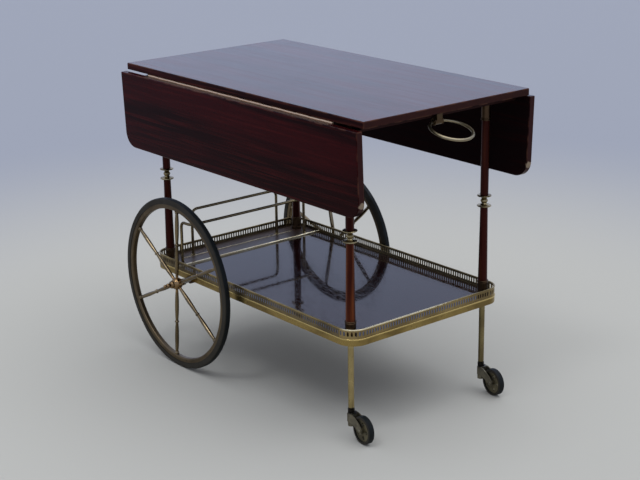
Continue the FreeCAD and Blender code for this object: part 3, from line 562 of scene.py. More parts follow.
@dataclass(frozen=True)
class BrassFinish:
    """Brass, bronze or steel, more or less tarnished."""

    name: str
    bright: Colour
    stained: Colour
    speck: Colour
    roughness: float
    stain_share: float = 0.8
    stain_size: float = 1.0
    spot: WearAndLightSpot | None = None
    speck_share: float = 0.7
    stain_dulling: float = 0.14
    rubbing_dulling: float = 0.1
    spot_dulling: float = 0.3
    relief: float = 0.1
    relief_depth: float = 0.0002

    def build(self) -> bpy.types.Material:
        """Builds the material.

        Returns:
            The material.
        """
        material, g, shader = start_material(self.name)
        place = g.node("ShaderNodeTexCoord").outputs["Object"]
        sized = g.vectors("MULTIPLY", place, (self.stain_size,) * 3)
        age = g.group("brass ageing", Vector=sized)
        colour = g.blend(g.times(age["Stain"], self.stain_share), self.bright, self.stained)
        dull = g.times(age["Stain"], self.stain_dulling)
        dull = g.plus(dull, g.times(age["Rubbing"], self.rubbing_dulling))
        if self.spot:
            bare = self.spot.mask(g, place)
            colour = g.blend(bare, colour, self.spot.tone)
            dull = g.times(dull, g.fade(bare, 0.0, 1.0, 1.0, self.spot_dulling))
        colour = g.blend(g.times(age["Specks"], self.speck_share), colour, self.speck)
        g.feed(shader.inputs["Base Color"], colour)
        g.feed(shader.inputs["Roughness"], g.plus(dull, self.roughness))
        shader.inputs["Metallic"].default_value = 1.0
        bump(g, shader, age["Rubbing"], self.relief, self.relief_depth)
        return material


@dataclass(frozen=True)
class RubberFinish:
    """Old hard rubber: dark tread, dusty walls."""

    name: str
    tread: Colour = (0.0035, 0.0052, 0.0056)
    wall: Colour = (0.026, 0.0225, 0.0165)
    dust: Colour = (0.052, 0.048, 0.039)
    roughness: float = 0.52
    specular: float = 0.15
    wall_facing: Span = (0.45, 0.9)
    stain_size: float = 1.6
    haze_dust: float = 0.16
    speck_dust: float = 0.3
    tread_dust: float = 0.3
    stain_dulling: float = 0.2
    relief: float = 0.15
    relief_depth: float = 0.0003

    def build(self) -> bpy.types.Material:
        """Builds the material.

        Returns:
            The material.
        """
        material, g, shader = start_material(self.name)
        source = g.node("ShaderNodeTexCoord").outputs
        haze = g.group("handling", Vector=source["Object"])["Haze"]
        sized = g.vectors("MULTIPLY", source["Object"], (self.stain_size,) * 3)
        age = g.group("brass ageing", Vector=sized)
        sideways = g.split(source["Normal"])[1]
        side = g.fade(g.sum_up("ABSOLUTE", sideways), *self.wall_facing)
        dusty = g.times(haze, self.haze_dust)
        dusty = g.plus(dusty, g.times(age["Specks"], self.speck_dust))
        dusty = g.times(dusty, g.fade(side, 0.0, 1.0, self.tread_dust, 1.0))
        colour = g.blend(side, self.tread, self.wall)
        g.feed(shader.inputs["Base Color"], g.blend(dusty, colour, self.dust))
        dull = g.times(age["Stain"], self.stain_dulling)
        g.feed(shader.inputs["Roughness"], g.plus(dull, self.roughness))
        shader.inputs["Specular IOR Level"].default_value = self.specular
        bump(g, shader, age["Rubbing"], self.relief, self.relief_depth)
        return material


@dataclass
class Finishes:
    """All finishes of the trolley, built once."""

    made: dict[str, bpy.types.Material] = field(default_factory=dict)

    def add(self, finish: WoodFinish | BrassFinish | RubberFinish, *nodes: str) -> None:
        """Builds a finish, keeps it by name and puts it on CAD nodes.

        Args:
            finish: What is built.
            nodes: Names of the nodes, if any.
        """
        self.made[finish.name] = finish.build()
        self.dress(finish.name, *nodes)

    def dress(self, finish: str, *nodes: str) -> None:
        """Puts a finish on whole CAD nodes.

        Args:
            finish: Name of the finish.
            nodes: Names of the nodes.
        """
        for name in nodes:
            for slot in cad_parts[name].material_slots:
                slot.material = self.made[finish]
            log.info("dressed %s with %s", name, finish)


def middle(node: str) -> Vector:
    """Finds the middle of a CAD node's box."""
    low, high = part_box(node)
    return (low + high) / 2


def pick_faces(test: Callable[[bpy.types.MeshPolygon], bool]) -> None:
    """Selects the faces that pass a test, on the piece in edit mode.

    Args:
        test: Tells whether a face is wanted.
    """
    bpy.ops.mesh.select_mode(type="FACE")
    bpy.ops.mesh.select_all(action="DESELECT")
    bpy.ops.object.mode_set(mode="OBJECT")
    for face in bpy.context.object.data.polygons:
        face.select = test(face)
    bpy.ops.object.mode_set(mode="EDIT")


@dataclass(frozen=True)
class Turning:
    """A shape turned about +Z, given as radius and height along its profile."""

    profile: Profile
    hollow: bool = False
    segments: int = 48
    smooth_angle: float = math.radians(42)

    def build(self) -> bpy.types.Object:
        """Turns the shape about the origin.

        Returns:
            The pattern to be set out.
        """
        bpy.ops.object.select_all(action="DESELECT")
        radius, height = self.profile[0]
        bpy.ops.mesh.primitive_circle_add(vertices=self.segments, radius=radius,
                                          location=(0.0, 0.0, height))
        bpy.ops.object.mode_set(mode="EDIT")
        bpy.ops.mesh.select_mode(type="EDGE")
        bpy.ops.mesh.select_all(action="SELECT")
        for wider, higher in self.profile[1:] + self.profile[:int(self.hollow)]:
            rise = (0.0, 0.0, higher - height)
            bpy.ops.mesh.extrude_region_move(TRANSFORM_OT_translate={"value": rise})
            spread = wider / radius
            bpy.ops.transform.resize(value=(spread, spread, 1.0), center_override=(0.0, 0.0, higher))
            radius, height = wider, higher
        bpy.ops.mesh.select_all(action="SELECT")
        bpy.ops.mesh.remove_doubles(threshold=MERGE_GAP)
        if not self.hollow:
            bpy.ops.mesh.fill_holes(sides=0)
        bpy.ops.mesh.select_all(action="SELECT")
        bpy.ops.mesh.normals_make_consistent(inside=False)
        bpy.ops.object.mode_set(mode="OBJECT")
        bpy.ops.object.transform_apply(location=True, rotation=True, scale=True)
        bpy.ops.object.shade_smooth_by_angle(angle=self.smooth_angle)
        return bpy.context.object


def half_round(radius: float, reach: float, half: float) -> Turning:
    """Shapes a half-round bead that stands on a turned surface.

    Args:
        radius: Radius of the surface that carries the bead.
        reach: How far the bead stands out.
        half: Half of its width.

    Returns:
        The bead, about the origin.
    """
    steps = [math.radians(step) for step in range(-90, 91, BEAD_STEP)]
    arc = [(radius + reach * math.cos(step), half * math.sin(step)) for step in steps]
    sunk = radius - BEAD_SUNK
    return Turning(((sunk, -half), *arc, (sunk, half)), hollow=True)


@dataclass(frozen=True)
class SlottedHead:
    """Head of a slotted wood screw, facing +Z from its seat at the origin."""

    radius: float = 0.0028
    sunk: float = 0.0008
    rise: float = 0.0003
    rounding: float = 0.0007
    dome_share: float = 0.6
    slot_width: float = 0.0009
    slot_depth: float = 0.0006
    slot_reach: float = 0.0019
    segments: int = 24
    smooth_angle: float = math.radians(30)

    def build(self) -> bpy.types.Object:
        """Models the head: a short cylinder, domed, with the slot sunk into it.

        Returns:
            The pattern to be set out.
        """
        bpy.ops.object.select_all(action="DESELECT")
        centre = (0.0, 0.0, (self.rise - self.sunk) / 2)
        bpy.ops.mesh.primitive_cylinder_add(vertices=self.segments, radius=self.radius,
                                            depth=self.sunk + self.rise, location=centre)
        bpy.ops.object.transform_apply(location=True, rotation=True, scale=True)
        bpy.ops.object.mode_set(mode="EDIT")
        pick_faces(lambda face: face.normal.z > FLAT_UP)
        bpy.ops.mesh.inset(thickness=self.rounding)
        bpy.ops.transform.translate(value=(0.0, 0.0, self.rise * self.dome_share))
        half = self.slot_width / 2
        for reach, way in ((half, (1, 0, 0)), (self.slot_reach, (0, 1, 0))):
            for sign in (1, -1):
                bpy.ops.mesh.select_all(action="SELECT")
                bpy.ops.mesh.bisect(plane_co=tuple(sign * reach * step for step in way), plane_no=way)
        pick_faces(lambda face: face.normal.z > SLOPED_UP and abs(face.center.x) < half
                   and abs(face.center.y) < self.slot_reach)
        sink = (0.0, 0.0, -self.slot_depth)
        bpy.ops.mesh.extrude_region_move(TRANSFORM_OT_translate={"value": sink})
        bpy.ops.object.mode_set(mode="OBJECT")
        bpy.ops.object.shade_smooth_by_angle(angle=self.smooth_angle)
        return bpy.context.object


def turned_slots(spots: list[Place], facing: Matrix, step: float) -> list[Matrix]:
    """Finds the places of a row of screws, each slot turned on from the last.

    Args:
        spots: Seats of the heads.
        facing: Turn that brings +Z onto the way they face.
        step: Turn from one slot to the next.

    Returns:
        One place for each screw.
    """
    return [Matrix.Translation(spot) @ facing @ Matrix.Rotation(step * i, 4, "Z")
            for i, spot in enumerate(spots)]


@dataclass
class Assembly:
    """A part of the trolley, which dresses its CAD nodes and adds its small pieces."""

    finishes: Finishes

    def set_out(self, pattern: bpy.types.Object, name: str, places: list[Matrix], body: str, slot: str,
                finish: str) -> bpy.types.Object:
        """Copies a pattern to its places and joins the copies into one dressed piece.

        Args:
            pattern: Finished shape about the origin; it is used up.
            name: Name of the piece.
            places: Where each copy goes.
            body: CAD body that the piece rides on.
            slot: Not used.
            finish: Name of its finish.

        Returns:
            The piece.
        """
        bpy.ops.object.select_all(action="DESELECT")
        copies = []
        for place in places:
            copy = bpy.data.objects.new(name, pattern.data.copy())
            copy.data.transform(place)
            bpy.context.scene.collection.objects.link(copy)
            copy.select_set(True)
            copies.append(copy)
        bpy.data.objects.remove(pattern)
        bpy.context.view_layer.objects.active = copies[0]
        bpy.ops.object.join()
        piece = copies[0]
        piece.data.materials.clear()
        piece.data.materials.append(self.finishes.made[finish])
        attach(piece, body)
        log.info("built %s, %d times, on %s", name, len(places), body)
        return piece


@dataclass
class TableTop(Assembly):
    """Top board, leaves, hinges and the woodwork under the top."""

    lean: float = math.radians(-2.0)
    corner_reach: float = 0.0086
    corner_rise: float = 0.029
    corner_tone: Colour = (0.27, 0.21, 0.15)
    hinge_screws: int = 8
    pin_drop: float = 0.0023
    pin_offset: float = 0.0005
    # Painted highlight along each hinge pin
    pin_highlight_tone: Colour = (0.78, 0.56, 0.36)
    edge_screw_reach: float = 0.008777
    edge_screw_drop: float = 0.000807
    edge_slot_step: float = 0.7
    plate_screw_reach: float = 0.01015
    plate_thickness: float = 0.001
    plate_slot_step: float = 0.9
    bracket_screw_half: float = 0.016
    bracket_half_width: float = 0.008
    foot_thickness: float = 0.003
    handle_screw_half: float = 0.013
    handle_plate_setback: float = 0.011
    handle_plate_thickness: float = 0.003
    pan_slot_step: float = 0.8
    head: SlottedHead = SlottedHead()
    pan_head: SlottedHead = SlottedHead(radius=0.003, sunk=0.0001, rise=0.0014, rounding=0.0009)
    under_top: tuple[str, ...] = ("cross_rail_front", "cross_rail_rear", "runner_front", "runner_rear",
                                  "slides_near", "slides_far")

    def build(self) -> None:
        """Adds the slotted screws."""
        low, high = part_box("leaf_hinge_near")
        step = (high.x - low.x) / self.hinge_screws
        along = [low.x + step * (i + 0.5) for i in range(self.hinge_screws)]
        board_low, board_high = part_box("top_board")
        pin_y = board_high.y + self.pin_offset
        edge_y = pin_y + self.edge_screw_reach
        edge_z = board_low.z - self.pin_drop - self.edge_screw_drop
        plate_y = pin_y - self.plate_screw_reach
        plate_z = board_low.z - self.plate_thickness
        flush = []
        for side in Side:
            tilt = Matrix.Rotation(side.value * self.lean, 4, "X")
            edge = [(x, side.value * edge_y, edge_z) for x in along]
            self.set_out(self.head.build(), "leaf_hinge_screws_" + side.label,
                         turned_slots(edge, tilt, self.edge_slot_step), side.label + "_leaf",
                         "bright_brass", "hinge_brass_" + side.label)
            plate = [(x, side.value * plate_y, plate_z) for x in along]
            flush += turned_slots(plate, FACING_DOWN, self.plate_slot_step)
        plates = self.set_out(self.head.build(), "hinge_plate_screws", flush, "frame", "bright_brass",
                              "polished_brass")
        pans = self.set_out(self.pan_head.build(), "pan_head_screws", self.pan_places(board_low.z),
                            "frame", "steel", "dull_steel")
        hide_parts("frame_screws")
        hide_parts("frame_screws")

    def pan_places(self, underside: float) -> list[Matrix]:
        """Finds the places of the round-headed screws.

        Args:
            underside: Height of the top board's lower face.

        Returns:
            One place for each screw, facing down.
        """
        axle = middle("axle")
        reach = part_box("axle_brackets")[1].y - self.bracket_half_width
        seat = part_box("tray_core")[0].z - self.foot_thickness
        spots = [(axle.x + way * self.bracket_screw_half, sign * reach, seat)
                 for way in BOTH_WAYS for sign in BOTH_WAYS]
        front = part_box("handle_bracket")[1].x - self.handle_plate_setback
        plate = underside - self.handle_plate_thickness
        spots += [(front, sign * self.handle_screw_half, plate) for sign in BOTH_WAYS]
        return turned_slots(spots, FACING_DOWN, self.pan_slot_step)

    def dress(self) -> None:
        """Gives the top its woods and brass."""
        low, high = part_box("top_board")
        # The top's underside is darkened with painted shade.
        self.finishes.add(WoodFinish(
            "mahogany_top", Grain.ALONG_X, (0.010, 0.0018, 0.002), (0.036, 0.0056, 0.006),
            (0.088, 0.019, 0.015), end_grain=(0.034, 0.0145, 0.0125), coat=0.54, coat_roughness=0.2,
            specular=0.05, edge_gloss=0.05, box=(tuple(low), tuple(high)), back=tuple(low)), "top_board")
        self.finishes.add(WoodFinish(
            "mahogany_rail", Grain.ALONG_Y, (0.008, 0.004, 0.0035), (0.018, 0.008, 0.006),
            (0.03, 0.013, 0.009), roughness=0.6, specular=0.2), *self.under_top)
        for side in Side:
            self.dress_leaf(side)
            pin = (0.0, side.value * (high.y + self.pin_offset), low.z - self.pin_drop)
            # Painted highlight: a bright line along each hinge pin, where the knuckle catches the light.
            self.finishes.add(BrassFinish(
                "hinge_brass_" + side.label, (0.27, 0.172, 0.115), (0.13, 0.078, 0.05),
                (0.05, 0.032, 0.022), 0.3, spot=WearAndLightSpot(pin, self.pin_highlight_tone, span=(0.0, 1.0, 1.0))),
                "hinge_" + side.label, "leaf_hinge_" + side.label)
        self.finishes.dress("polished_brass", "frame_screws")

    def dress_leaf(self, side: Side) -> None:
        """Gives a leaf its wood, unpolished and darkened with painted shade towards the columns, and knocked
        at its caster end.

        Args:
            side: Side of the leaf.
        """
        low, high = self.leaf_box(side)
        corner = (high[0], (low[1] + high[1]) / 2, low[2] + self.corner_rise)
        self.finishes.add(WoodFinish(
            "mahogany_leaf_" + side.label, Grain.ALONG_X, (0.006, 0.0006, 0.0009),
            (0.029, 0.0016, 0.0026), (0.056, 0.0044, 0.0048), worn=(0.075, 0.032, 0.022),
            end_grain=(0.036, 0.016, 0.0155), coat=0.01, specular=0.08, tint=(1.0, 0.12, 0.14),
            lean=side.value * self.lean, box=(low, high),
            spot=WearAndLightSpot(corner, self.corner_tone, self.corner_reach),
            back=high if side is Side.NEAR else low, back_way=(0.0, side.value, 0.0)),
            "leaf_" + side.label)

    def leaf_box(self, side: Side) -> tuple[Place, Place]:
        """Finds a leaf's box after its lean is taken out.

        Args:
            side: Side of the leaf.

        Returns:
            Lowest and highest corner.
        """
        back = Euler((-side.value * self.lean, 0.0, 0.0)).to_matrix()
        points = [back @ vertex.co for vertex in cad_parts["leaf_" + side.label].data.vertices]
        low = tuple(min(point[axis] for point in points) for axis in range(3))
        high = tuple(max(point[axis] for point in points) for axis in range(3))
        return low, high


@dataclass(frozen=True)
class Beading:
    """Beads round one kind of brass fitting, by their heights from its foot and its head."""

    piece: str
    node: str
    radius: float
    from_foot: tuple[float, ...]
    from_head: tuple[float, ...]
    reach: float = 0.0012
    half: float = 0.0014


@dataclass
class Columns(Assembly):
    """The four turned columns and their brass."""

    places: tuple[str, ...] = ("front_near", "front_far", "rear_near", "rear_far")
    # Painted light: the lower column at these places takes a brighter copy of the mahogany
    lit_places: tuple[str, ...] = ("front_near",)
    collar_half: Profile = (
        (0.0093, 0.0136), (0.0150, 0.0134), (0.0160, 0.0128), (0.0165, 0.0120), (0.0165, 0.0116),
        (0.0160, 0.0108), (0.0152, 0.0106), (0.0149, 0.0110), (0.0143, 0.0110), (0.0140, 0.0105),
        (0.0128, 0.0103), (0.0120, 0.0099), (0.0112, 0.0099), (0.0098, 0.0094), (0.0082, 0.0086),
        (0.0067, 0.0074), (0.0058, 0.0062), (0.0055, 0.0054), (0.0063, 0.0052), (0.0066, 0.0048),
        (0.0063, 0.0044), (0.0059, 0.0042), (0.0069, 0.0034), (0.0078, 0.0024), (0.0083, 0.0012))
    collar_waist: tuple[float, float] = (0.0084, 0.0)
    beading: tuple[Beading, ...] = (
        Beading("column_cap_beads", "column_caps", 0.0103, (0.0015, 0.0052), (0.0056, 0.0019)),
        Beading("column_base_beads", "column_bases", 0.0119, (0.0061,), (0.0053, 0.0016)))

    def build(self) -> None:
        """Adds the turned collars and the beads of the caps and bases."""
        spots = [middle("column_upper_" + place) for place in self.places]
        below = tuple((radius, -height) for radius, height in self.collar_half)
        profile = below + (self.collar_waist,) + tuple(reversed(self.collar_half))
        level = middle("column_collars").z
        places = [Matrix.Translation((spot.x, spot.y, level)) for spot in spots]
        collars = self.set_out(Turning(profile).build(), "column_collar_turnings", places, "frame",
                               "bright_brass", "collar_brass")
        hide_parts("column_collars")
        for row in self.beading:
            self.add_beads(row, spots)

    def add_beads(self, row: Beading, spots: list[Vector]) -> None:
        """Adds the beads of one kind of fitting.

        Args:
            row: The beads.
            spots: Middles of the columns.
        """
        low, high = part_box(row.node)
        levels = [low.z + rise for rise in row.from_foot] + [high.z - drop for drop in row.from_head]
        places = [Matrix.Translation((spot.x, spot.y, level)) for spot in spots for level in levels]
        bead = half_round(row.radius, row.reach, row.half)
        self.set_out(bead.build(), row.piece, places, "frame", "aged_brass", "ferrule_brass")

    def dress(self) -> None:
        """Gives the columns their wood, in a lit and a shaded copy, and their brass."""
        uppers = ["column_upper_" + place for place in self.places]
        shaded_lowers = ["column_lower_" + place for place in self.places if place not in self.lit_places]
        # Painted shade: the uppers and the other lowers take a darker copy; painted light: the near front
        # lower takes a brighter, more orange copy.
        self.finishes.add(WoodFinish(
            "mahogany_upper", Grain.ALONG_Z, (0.012, 0.003, 0.0026), (0.03, 0.007, 0.0045),
            (0.066, 0.019, 0.0095), specular=0.16), *uppers, *shaded_lowers)
        self.finishes.add(WoodFinish(
            "mahogany_lower", Grain.ALONG_Z, (0.022, 0.005, 0.0032), (0.095, 0.0225, 0.0078),
            (0.17, 0.049, 0.0155), specular=0.16), *["column_lower_" + place for place in self.lit_places])
        self.finishes.dress("collar_brass", "column_collars")
        self.finishes.dress("ferrule_brass", "column_caps", "column_bases")
        self.finishes.dress("dull_steel", "tie_rods")


@dataclass
class Tray(Assembly):
    """Tray, gallery and bottle rack."""

    # Painted light and shade: the walls under the leaves take a darker copy of the gallery brass, the front
    # end and corners a lighter one
    shaded_walls: tuple[str, ...] = ("gallery_rear", "gallery_near", "gallery_far")
    lit_walls: tuple[str, ...] = ("gallery_front", "gallery_corners")
    rib_half: float = 0.0015
    rib_reach: float = 0.0024
    # Painted highlight along the top edge of the band
    rib_highlight_tone: Colour = (0.52, 0.385, 0.14)
    # Painted highlight on the rail's front end, from the near corner
    highlight_reach: float = 0.3
    highlight_span: float = 8.0
    highlight_tone: Colour = (0.74, 0.64, 0.41)
    wire_radius: float = 0.0036
    rosette_radius: float = 0.0072
    rosette: Profile = (
        (0.0038, 0.0), (0.0072, 0.0), (0.0072, 0.0005), (0.0067, 0.0008), (0.0064, 0.0007),
        (0.0061, 0.0009), (0.0056, 0.0015), (0.0049, 0.0019), (0.0042, 0.0020), (0.0038, 0.0018))

    def build(self) -> None:
        """Adds the moulded rosettes at the feet of the rack."""
        low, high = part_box("rack_feet")
        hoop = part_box("rack_hoop")[1].y - self.wire_radius
        guard = high.y - self.rosette_radius
        spots = [(low.x + self.rosette_radius, sign * hoop) for sign in BOTH_WAYS]
        spots += [(high.x - self.rosette_radius, sign * guard) for sign in BOTH_WAYS]
        places = [Matrix.Translation((x, y, low.z)) for x, y in spots]
        feet = self.set_out(Turning(self.rosette, hollow=True).build(), "rack_rosettes", places,
                            "frame", "aged_brass", "wire_brass")
        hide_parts("rack_feet")

    def dress(self) -> None:
        """Gives the tray its lacquer, wood and brass."""
        self.finishes.add(WoodFinish(
            "dark_lacquer", Grain.ALONG_X, (0.010, 0.0032, 0.0042), (0.016, 0.0052, 0.006),
            (0.024, 0.0085, 0.0085), roughness=0.025, uneven=0.01, specular=0.24,
            tint=(0.9, 0.85, 1.0)), "serving_panel")
        self.finishes.add(WoodFinish(
            "bay_wood", Grain.ALONG_Y, (0.036, 0.02, 0.0145), (0.062, 0.036, 0.026),
            (0.095, 0.058, 0.042), roughness=0.36, coat=0.06, tint=(1.0, 0.9, 0.85)), "bottle_floor")
        self.finishes.dress("mahogany_rail", "tray_core")
        # Painted highlight: a bright line along the top edge of the band, where its rib catches the light.
        rib = (0.0, 0.0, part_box("tray_band")[1].z - self.rib_half)
        self.finishes.add(BrassFinish(
            "band_brass", (0.32, 0.228, 0.076), (0.165, 0.112, 0.037), (0.066, 0.045, 0.02), 0.22,
            spot=WearAndLightSpot(rib, self.rib_highlight_tone, self.rib_reach, (0.0, 0.0, 1.0))), "tray_band")
        # Painted highlight: the rail is lighter along its front end from the near corner, where it catches
        # the light.
        low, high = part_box("gallery_rail")
        corner = (high.x * self.highlight_span, low.y, 0.0)
        run = (self.highlight_span, 1.0, 0.0)
        self.finishes.add(BrassFinish(
            "rail_brass", (0.31, 0.232, 0.1), (0.16, 0.117, 0.05), (0.06, 0.043, 0.021), 0.13,
            spot=WearAndLightSpot(corner, self.highlight_tone, self.highlight_reach, run)), "gallery_rail")
        # Lit and shaded copies of one brass: darker on the near, far and rear walls as painted shade,
        # lighter on the front end and corners.
        self.finishes.dress("gallery_brass", *self.shaded_walls)
        self.finishes.dress("front_brass", *self.lit_walls)
        self.finishes.dress("bar_brass", "tray_strips")
        self.finishes.dress("wire_brass", "rack_hoop", "rack_guard", "rack_feet")


@dataclass
class Wheels(Assembly):
    """Axle and large spoked wheels."""

    spokes: int = 6
    turns: dict[Side, float] = field(default_factory=lambda: {
        Side.NEAR: math.radians(4.2), Side.FAR: math.radians(-12.5)})
    rim_inner: float = 0.186
    hub_reach: float = 0.026
    hub_tone: Colour = (0.25, 0.155, 0.07)
    ferrule_segments: int = 28
    ferrule: Profile = (
        (0.0033, -0.0066), (0.0043, -0.0066), (0.0048, -0.0060), (0.0043, -0.0052), (0.0041, -0.0048),
        (0.0050, -0.0036), (0.0054, -0.0022), (0.0055, 0.0), (0.0033, 0.0))

    def build(self) -> None:
        """Adds the ferrules where the spokes meet the rims."""
        out = Matrix.Translation((0.0, 0.0, self.rim_inner))
        for side in Side:
            hub = Matrix.Translation(middle("wheel_tyre_" + side.label))
            turns = [self.turns[side] + math.tau * i / self.spokes for i in range(self.spokes)]
            places = [hub @ Matrix.Rotation(turn, 4, "Y") @ out for turn in turns]
            pattern = Turning(self.ferrule, hollow=True, segments=self.ferrule_segments).build()
            self.set_out(pattern, "spoke_ferrules_" + side.label, places, side.label + "_wheel",
                         "aged_brass", "spoke_brass_" + side.label)

    def dress(self) -> None:
        """Gives the wheels their brass and rubber."""
        self.finishes.dress("dull_steel", "axle")
        self.finishes.dress("ferrule_brass", "axle_brackets")
        self.finishes.dress("hub_brass", "axle_finials")
        for side in Side:
            self.finishes.dress("black_rubber", "wheel_tyre_" + side.label)
            self.finishes.dress("rim_brass", "wheel_rim_" + side.label)
            hub = tuple(middle("wheel_tyre_" + side.label))
            self.finishes.add(BrassFinish(
                "spoke_brass_" + side.label, (0.205, 0.154, 0.086), (0.086, 0.062, 0.034),
                (0.04, 0.029, 0.018), 0.06, spot=WearAndLightSpot(hub, self.hub_tone, self.hub_reach)),
                "wheel_spider_" + side.label)


@dataclass
class Casters(Assembly):
    """Front legs and their casters."""

    # Darker round the foot of each leg and the top of its caster fork, where they meet
    neck_drop: float = 0.003
    neck_reach: float = 0.0155
    neck_tone: Colour = (0.022, 0.019, 0.015)
    foot_reach: float = 0.0034
    # Painted light and shade: the near leg has the lit tones, the far leg the same brass darkened as shade
    leg_lit_and_shaded_tones: dict[Side, Tones] = field(default_factory=lambda: {
        Side.NEAR: ((0.43, 0.34, 0.158), (0.23, 0.172, 0.072), (0.10, 0.068, 0.034)),
        Side.FAR: ((0.25, 0.20, 0.095), (0.13, 0.097, 0.044), (0.06, 0.041, 0.022))})
    lead_angle: float = math.radians(-6.0)
    pin_half: float = 0.0124
    dome_segments: int = 28
    dome: Profile = (
        (0.0042, -0.0002), (0.0043, 0.0001), (0.0040, 0.0005), (0.0033, 0.0009), (0.0023, 0.0012),
        (0.0012, 0.0014), (0.0004, 0.00145))

    def build(self) -> None:
        """Adds the domed ends of the riveted roller pins."""
        lead = Matrix.Rotation(self.lead_angle, 4, "Z")
        for side in Side:
            roller = Matrix.Translation(middle("roller_tyre_" + side.label)) @ lead
            places = [roller @ Matrix.Translation((0.0, way * self.pin_half, 0.0))
                      @ Matrix.Rotation(-way * math.pi / 2, 4, "X") for way in BOTH_WAYS]
            self.set_out(Turning(self.dome, segments=self.dome_segments).build(),
                         "caster_pin_domes_" + side.label, places, side.label + "_swivel",
                         "dark_bronze", "fork_bronze_" + side.label)

    def dress(self) -> None:
        """Gives the legs their brass and the casters their bronze and rubber."""
        for side in Side:
            leg = "leg_" + side.label
            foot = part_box(leg)[0].z
            # Darker band at the foot of the leg, where it meets the fork.
            sole = WearAndLightSpot((0.0, 0.0, foot), self.neck_tone, self.foot_reach, (0.0, 0.0, 1.0))
            # Lit copy on the near leg, shaded copy on the far leg
            self.finishes.add(BrassFinish(
                "leg_brass_" + side.label, *self.leg_lit_and_shaded_tones[side], 0.18, spot=sole), leg)
            neck = (middle(leg).x, middle(leg).y, foot - self.neck_drop)
            self.finishes.add(BrassFinish(
                "fork_bronze_" + side.label, (0.225, 0.2, 0.135), (0.115, 0.099, 0.068),
                (0.045, 0.038, 0.028), 0.4, stain_size=3.0,
                spot=WearAndLightSpot(neck, self.neck_tone, self.neck_reach)), "caster_fork_" + side.label)
            self.finishes.dress("disc_bronze", "roller_disc_" + side.label)
            self.finishes.dress("black_rubber", "roller_tyre_" + side.label)


@dataclass
class RingHandle(Assembly):
    """Ring handle and its bracket."""

    barrel_radius: float = 0.0075
    barrel_half: float = 0.012
    bead_reach: float = 0.0008
    bead_half: float = 0.0011
    bead_inset: float = 0.0013

    def build(self) -> None:
        """Adds the beads at the ends of the barrel that the ring turns in."""
        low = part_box("handle_bracket")[0]
        x = low.x + self.barrel_radius
        z = low.z + self.barrel_radius
        bead = half_round(self.barrel_radius, self.bead_reach, self.bead_half)
        end = self.barrel_half - self.bead_inset
        across = Matrix.Rotation(math.pi / 2, 4, "X")
        places = [Matrix.Translation((x, way * end, z)) @ across for way in BOTH_WAYS]
        self.set_out(bead.build(), "barrel_beads", places, "frame", "aged_brass", "bracket_brass")

    def dress(self) -> None:
        """Gives the handle its brass."""
        self.finishes.dress("ring_brass", "ring_handle")
        self.finishes.dress("bracket_brass", "handle_bracket")


